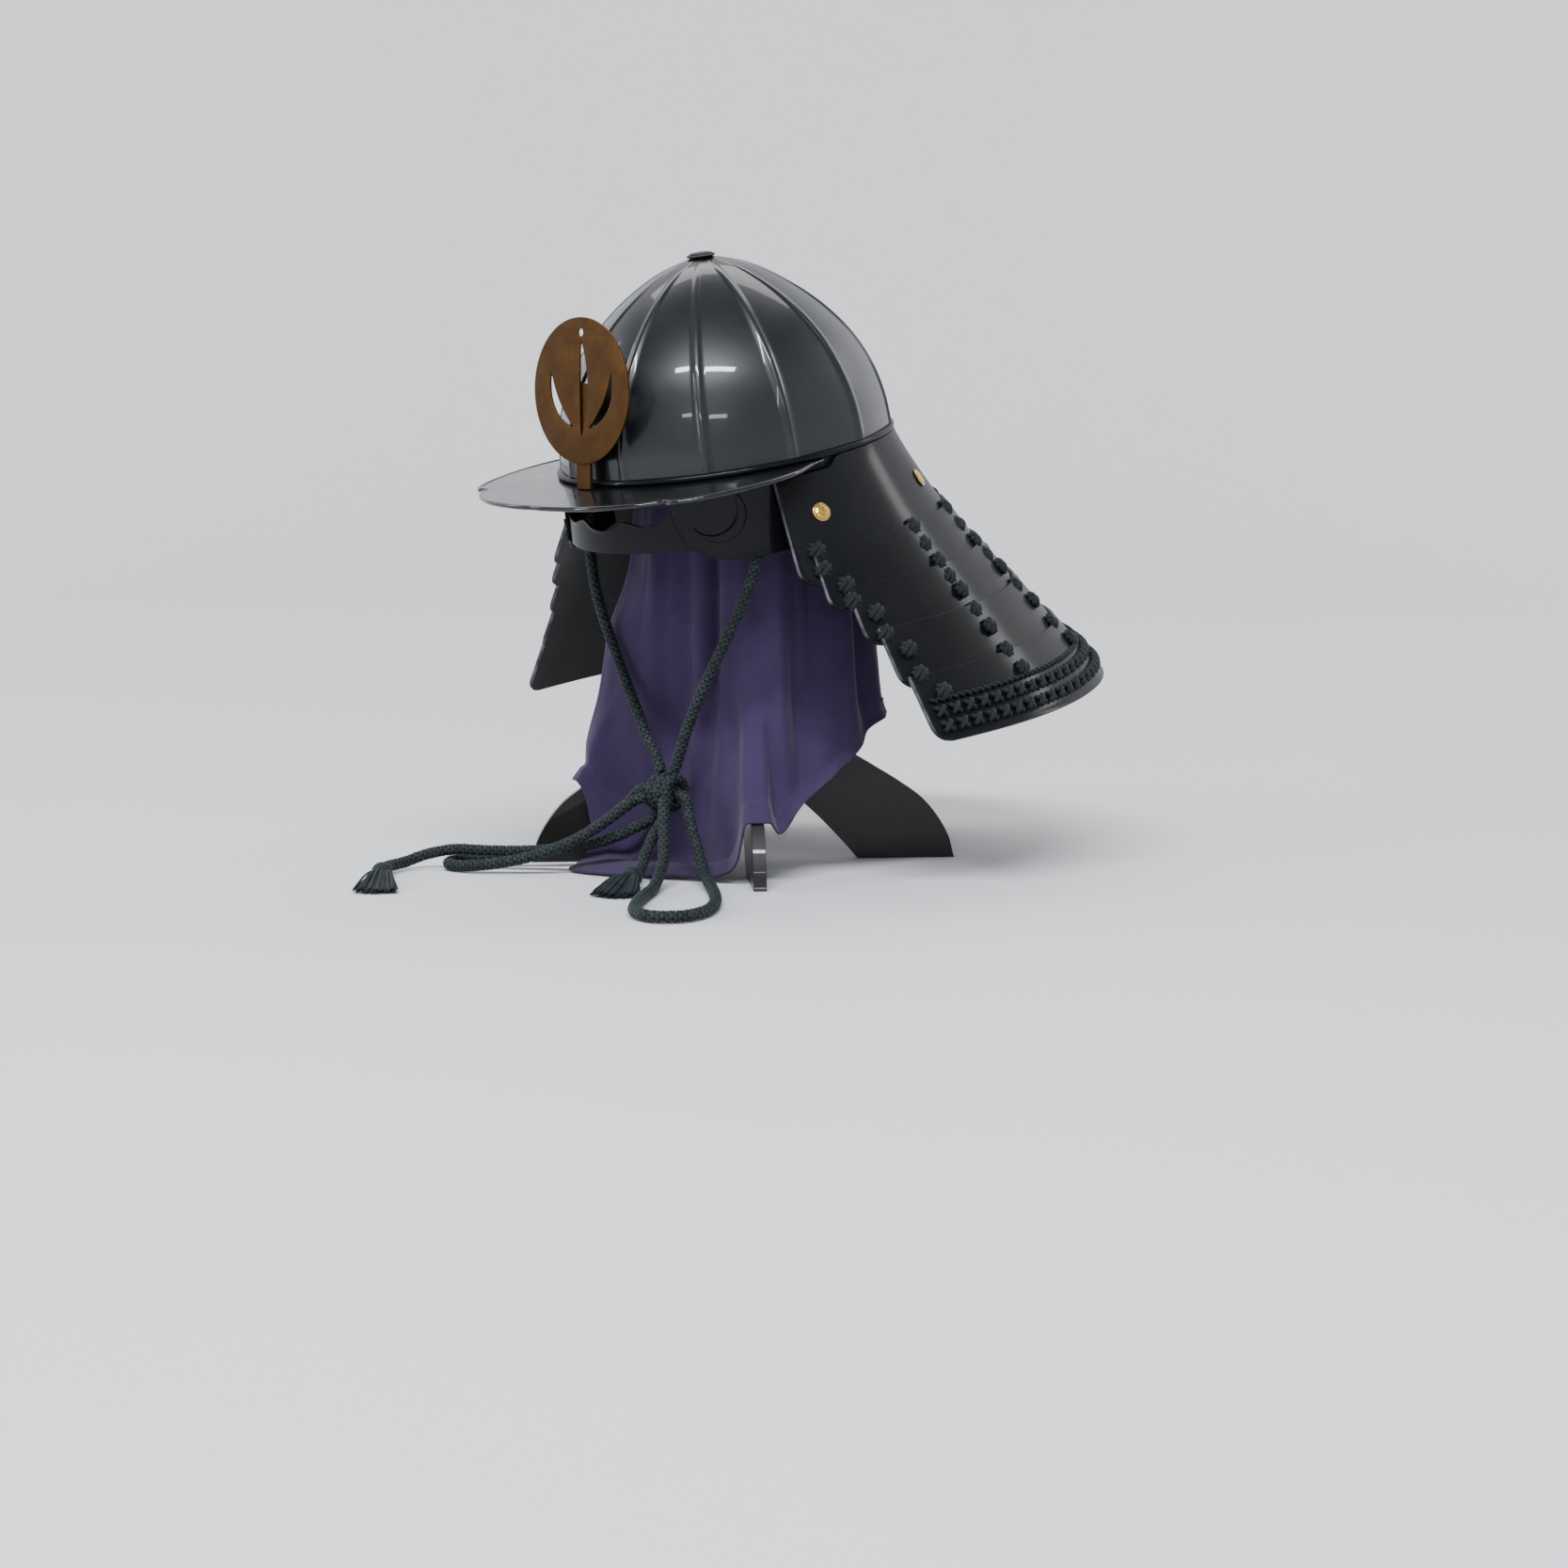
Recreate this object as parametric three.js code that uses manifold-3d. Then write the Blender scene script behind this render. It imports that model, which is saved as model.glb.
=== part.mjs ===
// A kabuto: a Japanese helmet of black-lacquered iron plates with its bronze crest, laced neck guard and
// chin cord, resting on a cross-board stand with a draped cloth. Millimetres, +Z up. The helmet faces -Y,
// so +X is its own left side. The origin is on the surface below the middle of the part.
import * as THREE from 'three';
import Module from 'manifold-3d';

const wasm = await Module();
wasm.setup();

// Clearances
const GAP = 0.3;                   // between pieces that rest on each other
const LAP_GAP = 0.6;               // between the overlapping plates of the neck guard

// How the helmet stands
const BASE_HEIGHT = 294;           // bowl's lower edge above the surface, at the bowl's middle
const PITCH = 10;                  // degrees that the helmet nods forward
const STAND_SETBACK = 16;          // stand's axis behind the bowl's middle

// Bowl
const BOWL_HALF_WIDTH = 108;
const BOWL_HALF_LENGTH = 122.5;
const BOWL_HEIGHT = 131;
const BOWL_WALL = 2;
const PLATES = 12;
const PLATE_FLATNESS = 0.4;        // 0 is fully round between the seams, 1 is a flat facet
const SEAM_WIDTH = 4.6;
const SEAM_RISE = 1.1;
const BOWL_PROFILE = [
  { height: 0.00, radius: 1.000 },
  { height: 0.16, radius: 0.982 },
  { height: 0.32, radius: 0.935 },
  { height: 0.48, radius: 0.850 },
  { height: 0.63, radius: 0.725 },
  { height: 0.765, radius: 0.568 },
  { height: 0.875, radius: 0.395 },
  { height: 0.95, radius: 0.232 },
  { height: 1.00, radius: 0.055 },
];

// Crown boss over the hole in the top of the bowl
const BOSS_RADIUS = 10;
const BOSS_RISE = 3;
const BOSS_STEM = 5;

// Rim band below the bowl: a bead that shows, and an apron that carries the visor and the neck guard
const BEAD_REACH = 2.2;
const BEAD_HEIGHT = 4;
const APRON_WALL = 2;
const APRON_DEPTH = 20;

// Visor
const VISOR_REACH = 60;
const VISOR_WALL = 2;
const VISOR_DROP = 1.6;
const VISOR_BEAD = 0.7;
const VISOR_BEAD_WIDTH = 3.5;
const VISOR_EDGE = [
  { angle: 0, reach: 0.95 },
  { angle: 6, reach: 0.97 },
  { angle: 13, reach: 0.985 },
  { angle: 20, reach: 1.00 },
  { angle: 27, reach: 0.99 },
  { angle: 32, reach: 0.965 },
  { angle: 34.5, reach: 0.94 },
  { angle: 36, reach: 0.89 },
  { angle: 37.5, reach: 0.96 },
  { angle: 40, reach: 0.985 },
  { angle: 44, reach: 0.94 },
  { angle: 50, reach: 0.84 },
  { angle: 57, reach: 0.72 },
  { angle: 64, reach: 0.57 },
  { angle: 70, reach: 0.42 },
  { angle: 76, reach: 0.23 },
  { angle: 81, reach: 0.10 },
  { angle: 85, reach: 0.055 },
];

// Neck guard: five flaring plates, each outside the one above it
const LAME_WALL = 2;
const GUARD_DEPTH = 190;           // rim below the bowl's lower edge
const GUARD_RIM_SLOPE = 3.6;       // degrees that the rim falls towards the rear
const FLARE_SIDE = 28.5;           // degrees from upright
const FLARE_REAR = 31.2;
const FLARE_CURVE = 1.165;
const LAME_CORNER = 11;
const LAME_STEP = 8;               // degrees between the columns of points
const LAMES = [
  { top: 0.00, bottom: 0.410, front: 66 },
  { top: 0.29, bottom: 0.515, front: 71 },
  { top: 0.445, bottom: 0.650, front: 76 },
  { top: 0.60, bottom: 0.810, front: 79 },
  { top: 0.775, bottom: 1.000, front: 80.5 },
];

// Side plates: the short forward ends of the neck guard, with a raised crescent on each
const SIDE_WALL = 1.2;
const SIDE_OUTSET = 0.7;           // plate's outer face outside the bowl's lower edge
const SIDE_DEPTH = 61;
const SIDE_OUTLINE = [
  { angle: 31, upper: 0.30, lower: 0.36 },
  { angle: 32, upper: 0.20, lower: 0.56 },
  { angle: 34, upper: 0.15, lower: 0.71 },
  { angle: 36, upper: 0.15, lower: 0.82 },
  { angle: 39, upper: 0.15, lower: 0.87 },
  { angle: 43, upper: 0.15, lower: 0.94 },
  { angle: 48, upper: 0.15, lower: 0.98 },
  { angle: 54, upper: 0.15, lower: 1.00 },
  { angle: 60, upper: 0.15, lower: 1.00 },
  { angle: 66, upper: 0.18, lower: 0.99 },
  { angle: 73, upper: 0.18, lower: 0.97 },
  { angle: 80, upper: 0.18, lower: 0.92 },
];
const CRESCENT_RISE = 1.8;
const CRESCENT_ROOT = 0.9;         // how deep it is let into the plate
const CRESCENT_RADIUS = 19;
const CRESCENT_WIDTH = 8.5;
const CRESCENT_SWEEP = 230;        // degrees from tip to tip
const CRESCENT_TURN = -45;         // degrees of its widest point, from the rear towards upright
const CRESCENT_ANGLE = 47;
const CRESCENT_DROP = 29;          // its middle below the bowl's lower edge

// Brow plate across the opening, with a wave over each eye
const BROW_WALL = 1.6;
const BROW_OUTSET = -1.1;
const BROW_DEPTH = 51;
const BROW_WAVE = [
  { angle: 0, upper: 0.70 },
  { angle: 5, upper: 0.67 },
  { angle: 11, upper: 0.57 },
  { angle: 15, upper: 0.60 },
  { angle: 19, upper: 0.635 },
  { angle: 24, upper: 0.61 },
  { angle: 29, upper: 0.50 },
  { angle: 33, upper: 0.445 },
  { angle: 37, upper: 0.43 },
];

// Crest disc and its prong
const CREST_RADIUS = 49.5;
const CREST_WALL = 1.6;
const CREST_FORWARD = 130;         // disc's middle ahead of the bowl's middle
const CREST_HEIGHT = 333;          // disc's middle above the surface
const PRONG_WIDTH = 14;
const PRONG_WALL = 2.4;
const PRONG_SHARE = 0.55;          // how far up the disc the prong reaches
// Tapering curved cuts, as a plume of three leaves: x and z shares of the disc's radius
const CREST_CUTS = [
  { x: 0.00, z: -0.62, lean: 0, length: 1.30, width: 0.17, bend: 0.06 },
  { x: -0.17, z: -0.50, lean: 32, length: 0.88, width: 0.14, bend: -0.13 },
  { x: 0.17, z: -0.50, lean: -32, length: 0.88, width: 0.14, bend: 0.13 },
];
const CREST_HOLE = { x: 0, z: 0.79, radius: 0.055 };

// Gilt rivets on the top plate of the neck guard
const RIVET_RADIUS = 6.5;
const RIVET_RISE = 2.2;
const RIVET_ANGLES = [78, 129, -129, -78];
const RIVET_SHARE = 0.175;

// Stand: two crossed boards with arched feet, and a round head
const BOARD_WALL = 9;
const BOARD_BEARING = 52.3;        // degrees from the front
const BOARD_REACH = 150;
const BOARD_NECK = 24;
const BOARD_SPRING = 81;
const BOARD_ARCH = 66;
const BOARD_OUTER = [
  { reach: 1.000, height: 0.00 },
  { reach: 0.993, height: 0.03 },
  { reach: 0.975, height: 0.13 },
  { reach: 0.927, height: 0.255 },
  { reach: 0.850, height: 0.385 },
  { reach: 0.747, height: 0.49 },
  { reach: 0.630, height: 0.59 },
  { reach: 0.507, height: 0.69 },
  { reach: 0.380, height: 0.785 },
  { reach: 0.250, height: 0.885 },
];
const BOARD_SHOULDER = 110;
const HEAD_RADIUS = 66;
const HEAD_DEPTH = 74;
const DOME_ANGLES = [0, 28, 52, 74, 90];
const HEAD_FOOT = 335.4;             // head's underside above the surface

// Cloth over the stand's head
const CLOTH_WALL = 2;
const CLOTH_REACH = 125;
const CLOTH_CORNER_HEIGHT = 100;
const CLOTH_WAIST_HEIGHT = 205;
const CLOTH_MIDDLE_HEIGHT = 120;
// Bearing in degrees from the front. Waist, middle, foot and hem are reaches as shares of CLOTH_REACH; bend and
// height are the foot's and the hem's heights as shares of CLOTH_CORNER_HEIGHT. Cloth drapes over the legs.
const CLOTH_SHAPE = [
  { bearing: -172, waist: 0.62, middle: 0.66, foot: 0.69, bend: 1.11, hem: 0.71, height: 1.07 },
  { bearing: -161, waist: 0.66, middle: 0.71, foot: 0.73, bend: 1.06, hem: 0.75, height: 1.00 },
  { bearing: -150, waist: 0.64, middle: 0.70, foot: 0.74, bend: 0.98, hem: 0.77, height: 0.92 },
  { bearing: -140, waist: 0.67, middle: 0.76, foot: 0.81, bend: 0.88, hem: 0.86, height: 0.80 },
  { bearing: -131.5, waist: 0.67, middle: 0.77, foot: 0.82, bend: 0.84, hem: 0.92, height: 0.73 },
  { bearing: -124, waist: 0.67, middle: 0.77, foot: 0.82, bend: 0.84, hem: 0.92, height: 0.73 },
  { bearing: -115, waist: 0.64, middle: 0.70, foot: 0.75, bend: 0.96, hem: 0.80, height: 0.84 },
  { bearing: -105, waist: 0.69, middle: 0.74, foot: 0.76, bend: 1.00, hem: 0.79, height: 0.94 },
  { bearing: -94, waist: 0.65, middle: 0.69, foot: 0.71, bend: 1.03, hem: 0.73, height: 0.98 },
  { bearing: -84, waist: 0.69, middle: 0.74, foot: 0.76, bend: 1.01, hem: 0.78, height: 0.96 },
  { bearing: -75, waist: 0.68, middle: 0.74, foot: 0.78, bend: 0.95, hem: 0.81, height: 0.88 },
  { bearing: -66, waist: 0.71, middle: 0.79, foot: 0.82, bend: 0.87, hem: 0.85, height: 0.79 },
  { bearing: -58, waist: 0.66, middle: 0.74, foot: 0.82, bend: 0.75, hem: 0.90, height: 0.66 },
  { bearing: -50, waist: 0.65, middle: 0.76, foot: 0.87, bend: 0.67, hem: 0.97, height: 0.55 },
  { bearing: -41.5, waist: 0.60, middle: 0.68, foot: 0.81, bend: 0.72, hem: 0.94, height: 0.58 },
  { bearing: -33.9, waist: 0.575, middle: 0.62, foot: 0.79, bend: 0.72, hem: 0.92, height: 0.58 },
  { bearing: -30.3, waist: 0.57, middle: 0.61, foot: 0.72, bend: 0.34, hem: 0.87, height: 0.22 },
  { bearing: -26, waist: 0.565, middle: 0.60, foot: 0.67, bend: 0.16, hem: 0.94, height: 0.06 },
  { bearing: -20, waist: 0.55, middle: 0.58, foot: 0.64, bend: 0.13, hem: 1.02, height: 0.03 },
  { bearing: -14, waist: 0.55, middle: 0.57, foot: 0.63, bend: 0.12, hem: 1.09, height: 0.03 },
  { bearing: -7, waist: 0.51, middle: 0.52, foot: 0.60, bend: 0.12, hem: 1.06, height: 0.03 },
  { bearing: 0, waist: 0.50, middle: 0.50, foot: 0.59, bend: 0.12, hem: 1.01, height: 0.03 },
  { bearing: 9, waist: 0.475, middle: 0.47, foot: 0.58, bend: 0.12, hem: 0.95, height: 0.03 },
  { bearing: 18, waist: 0.49, middle: 0.50, foot: 0.60, bend: 0.12, hem: 0.91, height: 0.04 },
  { bearing: 27, waist: 0.47, middle: 0.46, foot: 0.61, bend: 0.13, hem: 0.89, height: 0.045 },
  { bearing: 36, waist: 0.51, middle: 0.52, foot: 0.70, bend: 0.16, hem: 0.92, height: 0.05 },
  { bearing: 42, waist: 0.51, middle: 0.53, foot: 0.78, bend: 0.20, hem: 0.96, height: 0.08 },
  { bearing: 45.6, waist: 0.52, middle: 0.55, foot: 0.82, bend: 0.32, hem: 1.01, height: 0.16 },
  { bearing: 48.6, waist: 0.53, middle: 0.57, foot: 0.86, bend: 0.62, hem: 1.04, height: 0.44 },
  { bearing: 56, waist: 0.545, middle: 0.59, foot: 0.86, bend: 0.62, hem: 1.03, height: 0.44 },
  { bearing: 60, waist: 0.56, middle: 0.60, foot: 0.80, bend: 0.48, hem: 0.96, height: 0.35 },
  { bearing: 67, waist: 0.60, middle: 0.65, foot: 0.77, bend: 0.58, hem: 0.89, height: 0.48 },
  { bearing: 74, waist: 0.585, middle: 0.62, foot: 0.72, bend: 0.66, hem: 0.83, height: 0.57 },
  { bearing: 82, waist: 0.65, middle: 0.71, foot: 0.77, bend: 0.75, hem: 0.83, height: 0.67 },
  { bearing: 92, waist: 0.65, middle: 0.70, foot: 0.74, bend: 0.85, hem: 0.79, height: 0.78 },
  { bearing: 102, waist: 0.70, middle: 0.76, foot: 0.78, bend: 0.94, hem: 0.80, height: 0.87 },
  { bearing: 112, waist: 0.67, middle: 0.73, foot: 0.75, bend: 1.02, hem: 0.77, height: 0.96 },
  { bearing: 122, waist: 0.70, middle: 0.78, foot: 0.79, bend: 1.08, hem: 0.81, height: 1.03 },
  { bearing: 131, waist: 0.67, middle: 0.74, foot: 0.76, bend: 1.10, hem: 0.78, height: 1.05 },
  { bearing: 140, waist: 0.69, middle: 0.76, foot: 0.78, bend: 1.10, hem: 0.79, height: 1.06 },
  { bearing: 150, waist: 0.66, middle: 0.72, foot: 0.74, bend: 1.11, hem: 0.76, height: 1.07 },
  { bearing: 160, waist: 0.67, middle: 0.72, foot: 0.74, bend: 1.11, hem: 0.75, height: 1.08 },
  { bearing: 169, waist: 0.62, middle: 0.66, foot: 0.69, bend: 1.12, hem: 0.71, height: 1.09 },
  { bearing: 178, waist: 0.66, middle: 0.70, foot: 0.72, bend: 1.12, hem: 0.73, height: 1.09 },
];

// Chin cord. Its routes are chosen by hand, relative to the bowl's middle and above the surface. Where a route
// leaves or reaches the knot, the direction from the knot's middle is given.
const CORD_DIAMETER = 8.4;
const CORD_SIDES = 8;
const KNOT = { x: 20, y: -73, z: 58 };
const KNOT_RADIUS = 14.5;
const KNOT_GROOVE = 0.9;
const KNOT_REACH = 7;              // straight stretch of cord beside the knot
const CORD_ROUTES = {
  chin_cord_left: {
    steps: 12,
    points: [
      [87.9, -50.4, 272], [88, -50.4, 250], [88.4, -50.2, 226], [81, -52, 200], [66, -57, 168],
      [50, -62.5, 136], [36, -67.5, 104],
    ],
    arrive: [5.6, 1.7, 14.5],
  },
  chin_cord_right: {
    steps: 12,
    points: [
      [-87.9, -50.4, 272], [-88, -51.5, 245], [-83, -54, 215], [-69, -59, 185], [-46, -64, 152],
      [-22, -69, 121], [-2, -72, 95],
    ],
    arrive: [-6.3, 0, 14.3],
  },
  bow_loop_left: {
    steps: 19,
    leave: [-13.5, -2.5, 0],
    points: [
      [-15, -80.5, 46], [-30, -88, 33], [-50, -102, 18], [-75, -121, 7.5], [-95, -135.5, 4.8],
      [-106.5, -147, 4.6], [-107, -162, 4.6], [-96, -172, 4.6], [-80, -169, 5], [-60, -155, 8],
      [-36, -134, 16], [-14, -112, 31],
    ],
    arrive: [-10, -11, -4],
  },
  bow_loop_right: {
    steps: 22,
    leave: [13.6, -1.5, -1],
    points: [
      [50, -78.5, 43], [64, -84, 25], [82, -93, 10], [106, -108, 4.8], [132, -128, 4.6],
      [158, -152, 4.6], [176, -177, 4.6], [180, -198, 4.6], [167, -213, 4.6], [146, -209, 4.6],
      [122, -188, 4.6], [98, -160, 4.6], [78, -134, 6], [58, -109, 19],
    ],
    arrive: [11, -11.5, -5],
  },
  cord_tail_left: {
    steps: 14,
    leave: [-6, -4, -13],
    points: [
      [3, -86, 33], [-12, -98, 24], [-30, -112, 18], [-56, -132, 14.5], [-82, -150, 13.6],
      [-102.5, -163.5, 13.6], [-116, -177, 10], [-119, -193, 6], [-112, -211, 6], [-97, -227, 7.6],
      [-86, -237, 7.9],
    ],
  },
  cord_tail_right: {
    steps: 6,
    leave: [5, -7, -13],
    points: [
      [28, -92, 30], [34, -105, 17], [39, -113, 10.5], [43, -119, 8.2], [46.5, -124.5, 7.9],
    ],
  },
};
// Each tassel lies on the surface at the end of its tail
const TASSEL_TAILS = { tassel_left: 'cord_tail_left', tassel_right: 'cord_tail_right' };
const TASSEL_HEAD_RADIUS = 7.2;
const TASSEL_HEAD_LENGTH = 15;
const TASSEL_LENGTH = 58;
const TASSEL_LOCKS = 7;
const TASSEL_SPREAD = 14;          // half width of the skirt's end
const TASSEL_LOCK_RADIUS = 3.6;

// Finishes
const LACQUER = { color: 0x14161a, roughness: 0.22, metalness: 0.1 };
const BRONZE = { color: 0x5a3814, roughness: 0.4, metalness: 0.9 };
const GILT = { color: 0xb98a35, roughness: 0.3, metalness: 1 };
const CORD_SILK = { color: 0x131c20, roughness: 0.85, metalness: 0 };
const BLACK_WOOD = { color: 0x101012, roughness: 0.45, metalness: 0 };
const PURPLE_CLOTH = { color: 0x463a64, roughness: 0.95, metalness: 0 };

const rad = THREE.MathUtils.degToRad;
const lerp = THREE.MathUtils.lerp;
const vec = (x, y, z) => new THREE.Vector3(x, y, z);
const steps = (count) => Array.from({ length: count + 1 }, (_, index) => index / count);

// Solids from grids of points

function solid(points, triangles) {
  const near = (a, b) => points[a].distanceTo(points[b]) < 1e-4;
  const kept = triangles.filter(([a, b, c]) => !near(a, b) && !near(b, c) && !near(c, a));
  const volume = kept.reduce((total, [a, b, c]) => {
    return total + points[a].dot(points[b].clone().cross(points[c]));
  }, 0);
  const index = kept.map(([a, b, c]) => (volume < 0 ? [a, c, b] : [a, b, c]));
  const geometry = new THREE.BufferGeometry().setFromPoints(points);
  geometry.setIndex(index.flat());
  return geometry;
}

// Two grids of points, rows by columns, closed along their edges
function wall(outer, inner, round = false) {
  const rows = outer.length;
  const columns = outer[0].length;
  const last = round ? columns : columns - 1;
  const at = (side, row, column) => side * rows * columns + row * columns + (column % columns);
  const triangles = [];
  const quad = (a, b, c, d) => triangles.push([a, b, c], [a, c, d]);
  for (let row = 0; row < rows - 1; row += 1) {
    for (let column = 0; column < last; column += 1) {
      quad(at(0, row, column), at(0, row, column + 1), at(0, row + 1, column + 1), at(0, row + 1, column));
      quad(at(1, row, column), at(1, row + 1, column), at(1, row + 1, column + 1), at(1, row, column + 1));
    }
  }
  for (let column = 0; column < last; column += 1) {
    const end = rows - 1;
    quad(at(0, 0, column), at(1, 0, column), at(1, 0, column + 1), at(0, 0, column + 1));
    quad(at(0, end, column), at(0, end, column + 1), at(1, end, column + 1), at(1, end, column));
  }
  if (!round) {
    const end = columns - 1;
    for (let row = 0; row < rows - 1; row += 1) {
      quad(at(0, row, 0), at(0, row + 1, 0), at(1, row + 1, 0), at(1, row, 0));
      quad(at(0, row, end), at(1, row, end), at(1, row + 1, end), at(0, row + 1, end));
    }
  }
  return solid([...outer.flat(), ...inner.flat()], triangles);
}

// Rings of points stacked one after another, closed at both ends
function stack(rings) {
  const sides = rings[0].length;
  const at = (ring, side) => ring * sides + (side % sides);
  const middles = [rings[0], rings.at(-1)].map((ring) => {
    return ring.reduce((total, point) => total.add(point), vec(0, 0, 0)).divideScalar(sides);
  });
  const foot = rings.length * sides;
  const triangles = [];
  for (let side = 0; side < sides; side += 1) {
    for (let ring = 0; ring < rings.length - 1; ring += 1) {
      triangles.push([at(ring, side), at(ring, side + 1), at(ring + 1, side + 1)]);
      triangles.push([at(ring, side), at(ring + 1, side + 1), at(ring + 1, side)]);
    }
    triangles.push([foot, at(0, side + 1), at(0, side)]);
    triangles.push([foot + 1, at(rings.length - 1, side), at(rings.length - 1, side + 1)]);
  }
  return solid([...rings.flat(), ...middles], triangles);
}

// Profile of [radius, height] pairs turned about +Z, closed where it meets the axis
function turned(profile, sides) {
  const rings = profile.map(([radius, height]) => Array.from({ length: sides }, (_, side) => {
    const angle = (2 * Math.PI * side) / sides;
    return vec(radius * Math.cos(angle), radius * Math.sin(angle), height);
  }));
  return stack(rings);
}

// A grid that runs all the way round, moved inwards along its own normals
function offset(grid, thickness) {
  const columns = grid[0].length;
  return grid.map((row, r) => row.map((point, c) => {
    const up = grid[Math.max(r - 1, 0)][c];
    const down = grid[Math.min(r + 1, grid.length - 1)][c];
    const before = row[(c + columns - 1) % columns];
    const after = row[(c + 1) % columns];
    const normal = after.clone().sub(before).cross(down.clone().sub(up)).normalize();
    return point.clone().addScaledVector(normal, thickness);
  }));
}

function toManifold(geometry) {
  const index = geometry.index ?? { array: Uint32Array.from({ length: geometry.attributes.position.count },
    (_, i) => i) };
  const mesh = new wasm.Mesh({
    numProp: 3,
    vertProperties: Float32Array.from(geometry.attributes.position.array),
    triVerts: Uint32Array.from(index.array),
  });
  mesh.merge();
  return new wasm.Manifold(mesh);
}

function fromManifold(manifold) {
  const mesh = manifold.getMesh();
  const geometry = new THREE.BufferGeometry();
  geometry.setAttribute('position', new THREE.BufferAttribute(mesh.vertProperties, 3));
  geometry.setIndex(new THREE.BufferAttribute(mesh.triVerts, 1));
  return geometry;
}

// The helmet's own frame: the bowl's lower edge is z = 0, and it nods forward as a whole
const nod = new THREE.Matrix4().makeRotationX(rad(PITCH)).setPosition(0, 0, BASE_HEIGHT);
const onHelmet = (geometry) => geometry.applyMatrix4(nod);
const SHELF = BEAD_HEIGHT + 2 * GAP;   // top of what hangs below the rim band's bead

function rimPoint(angle, outset, height) {
  return vec(
    (BOWL_HALF_WIDTH + outset) * Math.sin(rad(angle)),
    -(BOWL_HALF_LENGTH + outset) * Math.cos(rad(angle)),
    height,
  );
}

// Bowl

const plateAngle = 360 / PLATES;

function plateShare(fromMiddle) {
  const flat = Math.cos(rad(plateAngle / 2)) / Math.cos(rad(fromMiddle));
  return lerp(1, flat, PLATE_FLATNESS);
}

function bowlPoint(angle, fromMiddle, level, rise) {
  const share = level.radius * plateShare(fromMiddle);
  const x = (BOWL_HALF_WIDTH * share + rise) * Math.sin(rad(angle));
  const y = -(BOWL_HALF_LENGTH * share + rise) * Math.cos(rad(angle));
  return vec(x, y, level.height * BOWL_HEIGHT);
}

function bowlRing(level) {
  const half = plateAngle / 2;
  const seamMost = half * 0.35;
  const reach = BOWL_HALF_WIDTH * level.radius;
  const seam = Math.min(THREE.MathUtils.radToDeg(SEAM_WIDTH / 2 / reach), seamMost);
  const rise = SEAM_RISE * Math.min(1, reach / 30);
  const places = [
    { from: -half + seam, rise: 0 },
    { from: -half * 0.33, rise: 0 },
    { from: half * 0.33, rise: 0 },
    { from: half - seam, rise: 0 },
    { from: half - seam * 0.6, rise },
    { from: half + seam * 0.6, rise },
  ];
  const ring = [];
  for (let plate = 0; plate < PLATES; plate += 1) {
    for (const place of places) {
      const fromMiddle = place.from > half ? place.from - plateAngle : place.from;
      ring.push(bowlPoint(plate * plateAngle + place.from, fromMiddle, level, place.rise));
    }
  }
  return ring;
}

function bowl() {
  const outer = stack(BOWL_PROFILE.map(bowlRing));
  const half = plateAngle / 2;
  const angles = Array.from({ length: PLATES * 2 }, (_, index) => index * half);
  const lining = BOWL_PROFILE.slice(0, -1).map((level, index) => {
    const before = BOWL_PROFILE[Math.max(index - 1, 0)];
    const after = BOWL_PROFILE[index + 1];
    const run = (before.radius - after.radius) * BOWL_HALF_WIDTH;
    const climb = (after.height - before.height) * BOWL_HEIGHT;
    const slant = Math.hypot(run, climb);
    return angles.map((angle, column) => {
      const point = bowlPoint(angle, column % 2 ? half : 0, level, -BOWL_WALL * climb / slant);
      point.z -= BOWL_WALL * run / slant + (index === 0 ? BOWL_WALL : 0);
      return point;
    });
  });
  const bore = [BOWL_HEIGHT - BOWL_WALL * 1.6, BOWL_HEIGHT + BOWL_WALL].map((height) => angles.map((angle) => {
    const radius = BOSS_STEM / 2 + GAP;
    return vec(radius * Math.sin(rad(angle)), -radius * Math.cos(rad(angle)), height);
  }));
  const inner = stack([...lining, ...bore]);
  return fromManifold(toManifold(outer).subtract(toManifold(inner)));
}

function crownBoss() {
  const stem = BOSS_STEM / 2;
  const foot = BOWL_HEIGHT + GAP;
  return turned([
    [stem, foot - BOWL_WALL * 2],
    [stem, foot],
    [BOSS_RADIUS, foot],
    [BOSS_RADIUS, foot + BOSS_RISE * 0.35],
    [BOSS_RADIUS * 0.82, foot + BOSS_RISE * 0.8],
    [BOSS_RADIUS * 0.45, foot + BOSS_RISE],
  ], 16);
}

function rimBand() {
  const profile = [
    [BEAD_REACH, -GAP],
    [BEAD_REACH, -GAP - BEAD_HEIGHT],
    [-1, -GAP - BEAD_HEIGHT],
    [-1, -APRON_DEPTH],
    [-1 - APRON_WALL, -APRON_DEPTH],
    [-1 - APRON_WALL, -GAP],
  ];
  const columns = 360 / LAME_STEP;
  const points = [];
  const triangles = [];
  const at = (column, place) => (column % columns) * profile.length + (place % profile.length);
  for (let column = 0; column < columns; column += 1) {
    for (const [place, [outset, height]] of profile.entries()) {
      points.push(rimPoint(column * LAME_STEP, outset, height));
      const [a, b] = [at(column, place), at(column, place + 1)];
      const [c, d] = [at(column + 1, place + 1), at(column + 1, place)];
      triangles.push([a, b, c], [a, c, d]);
    }
  }
  return solid(points, triangles);
}

// Visor

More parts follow.
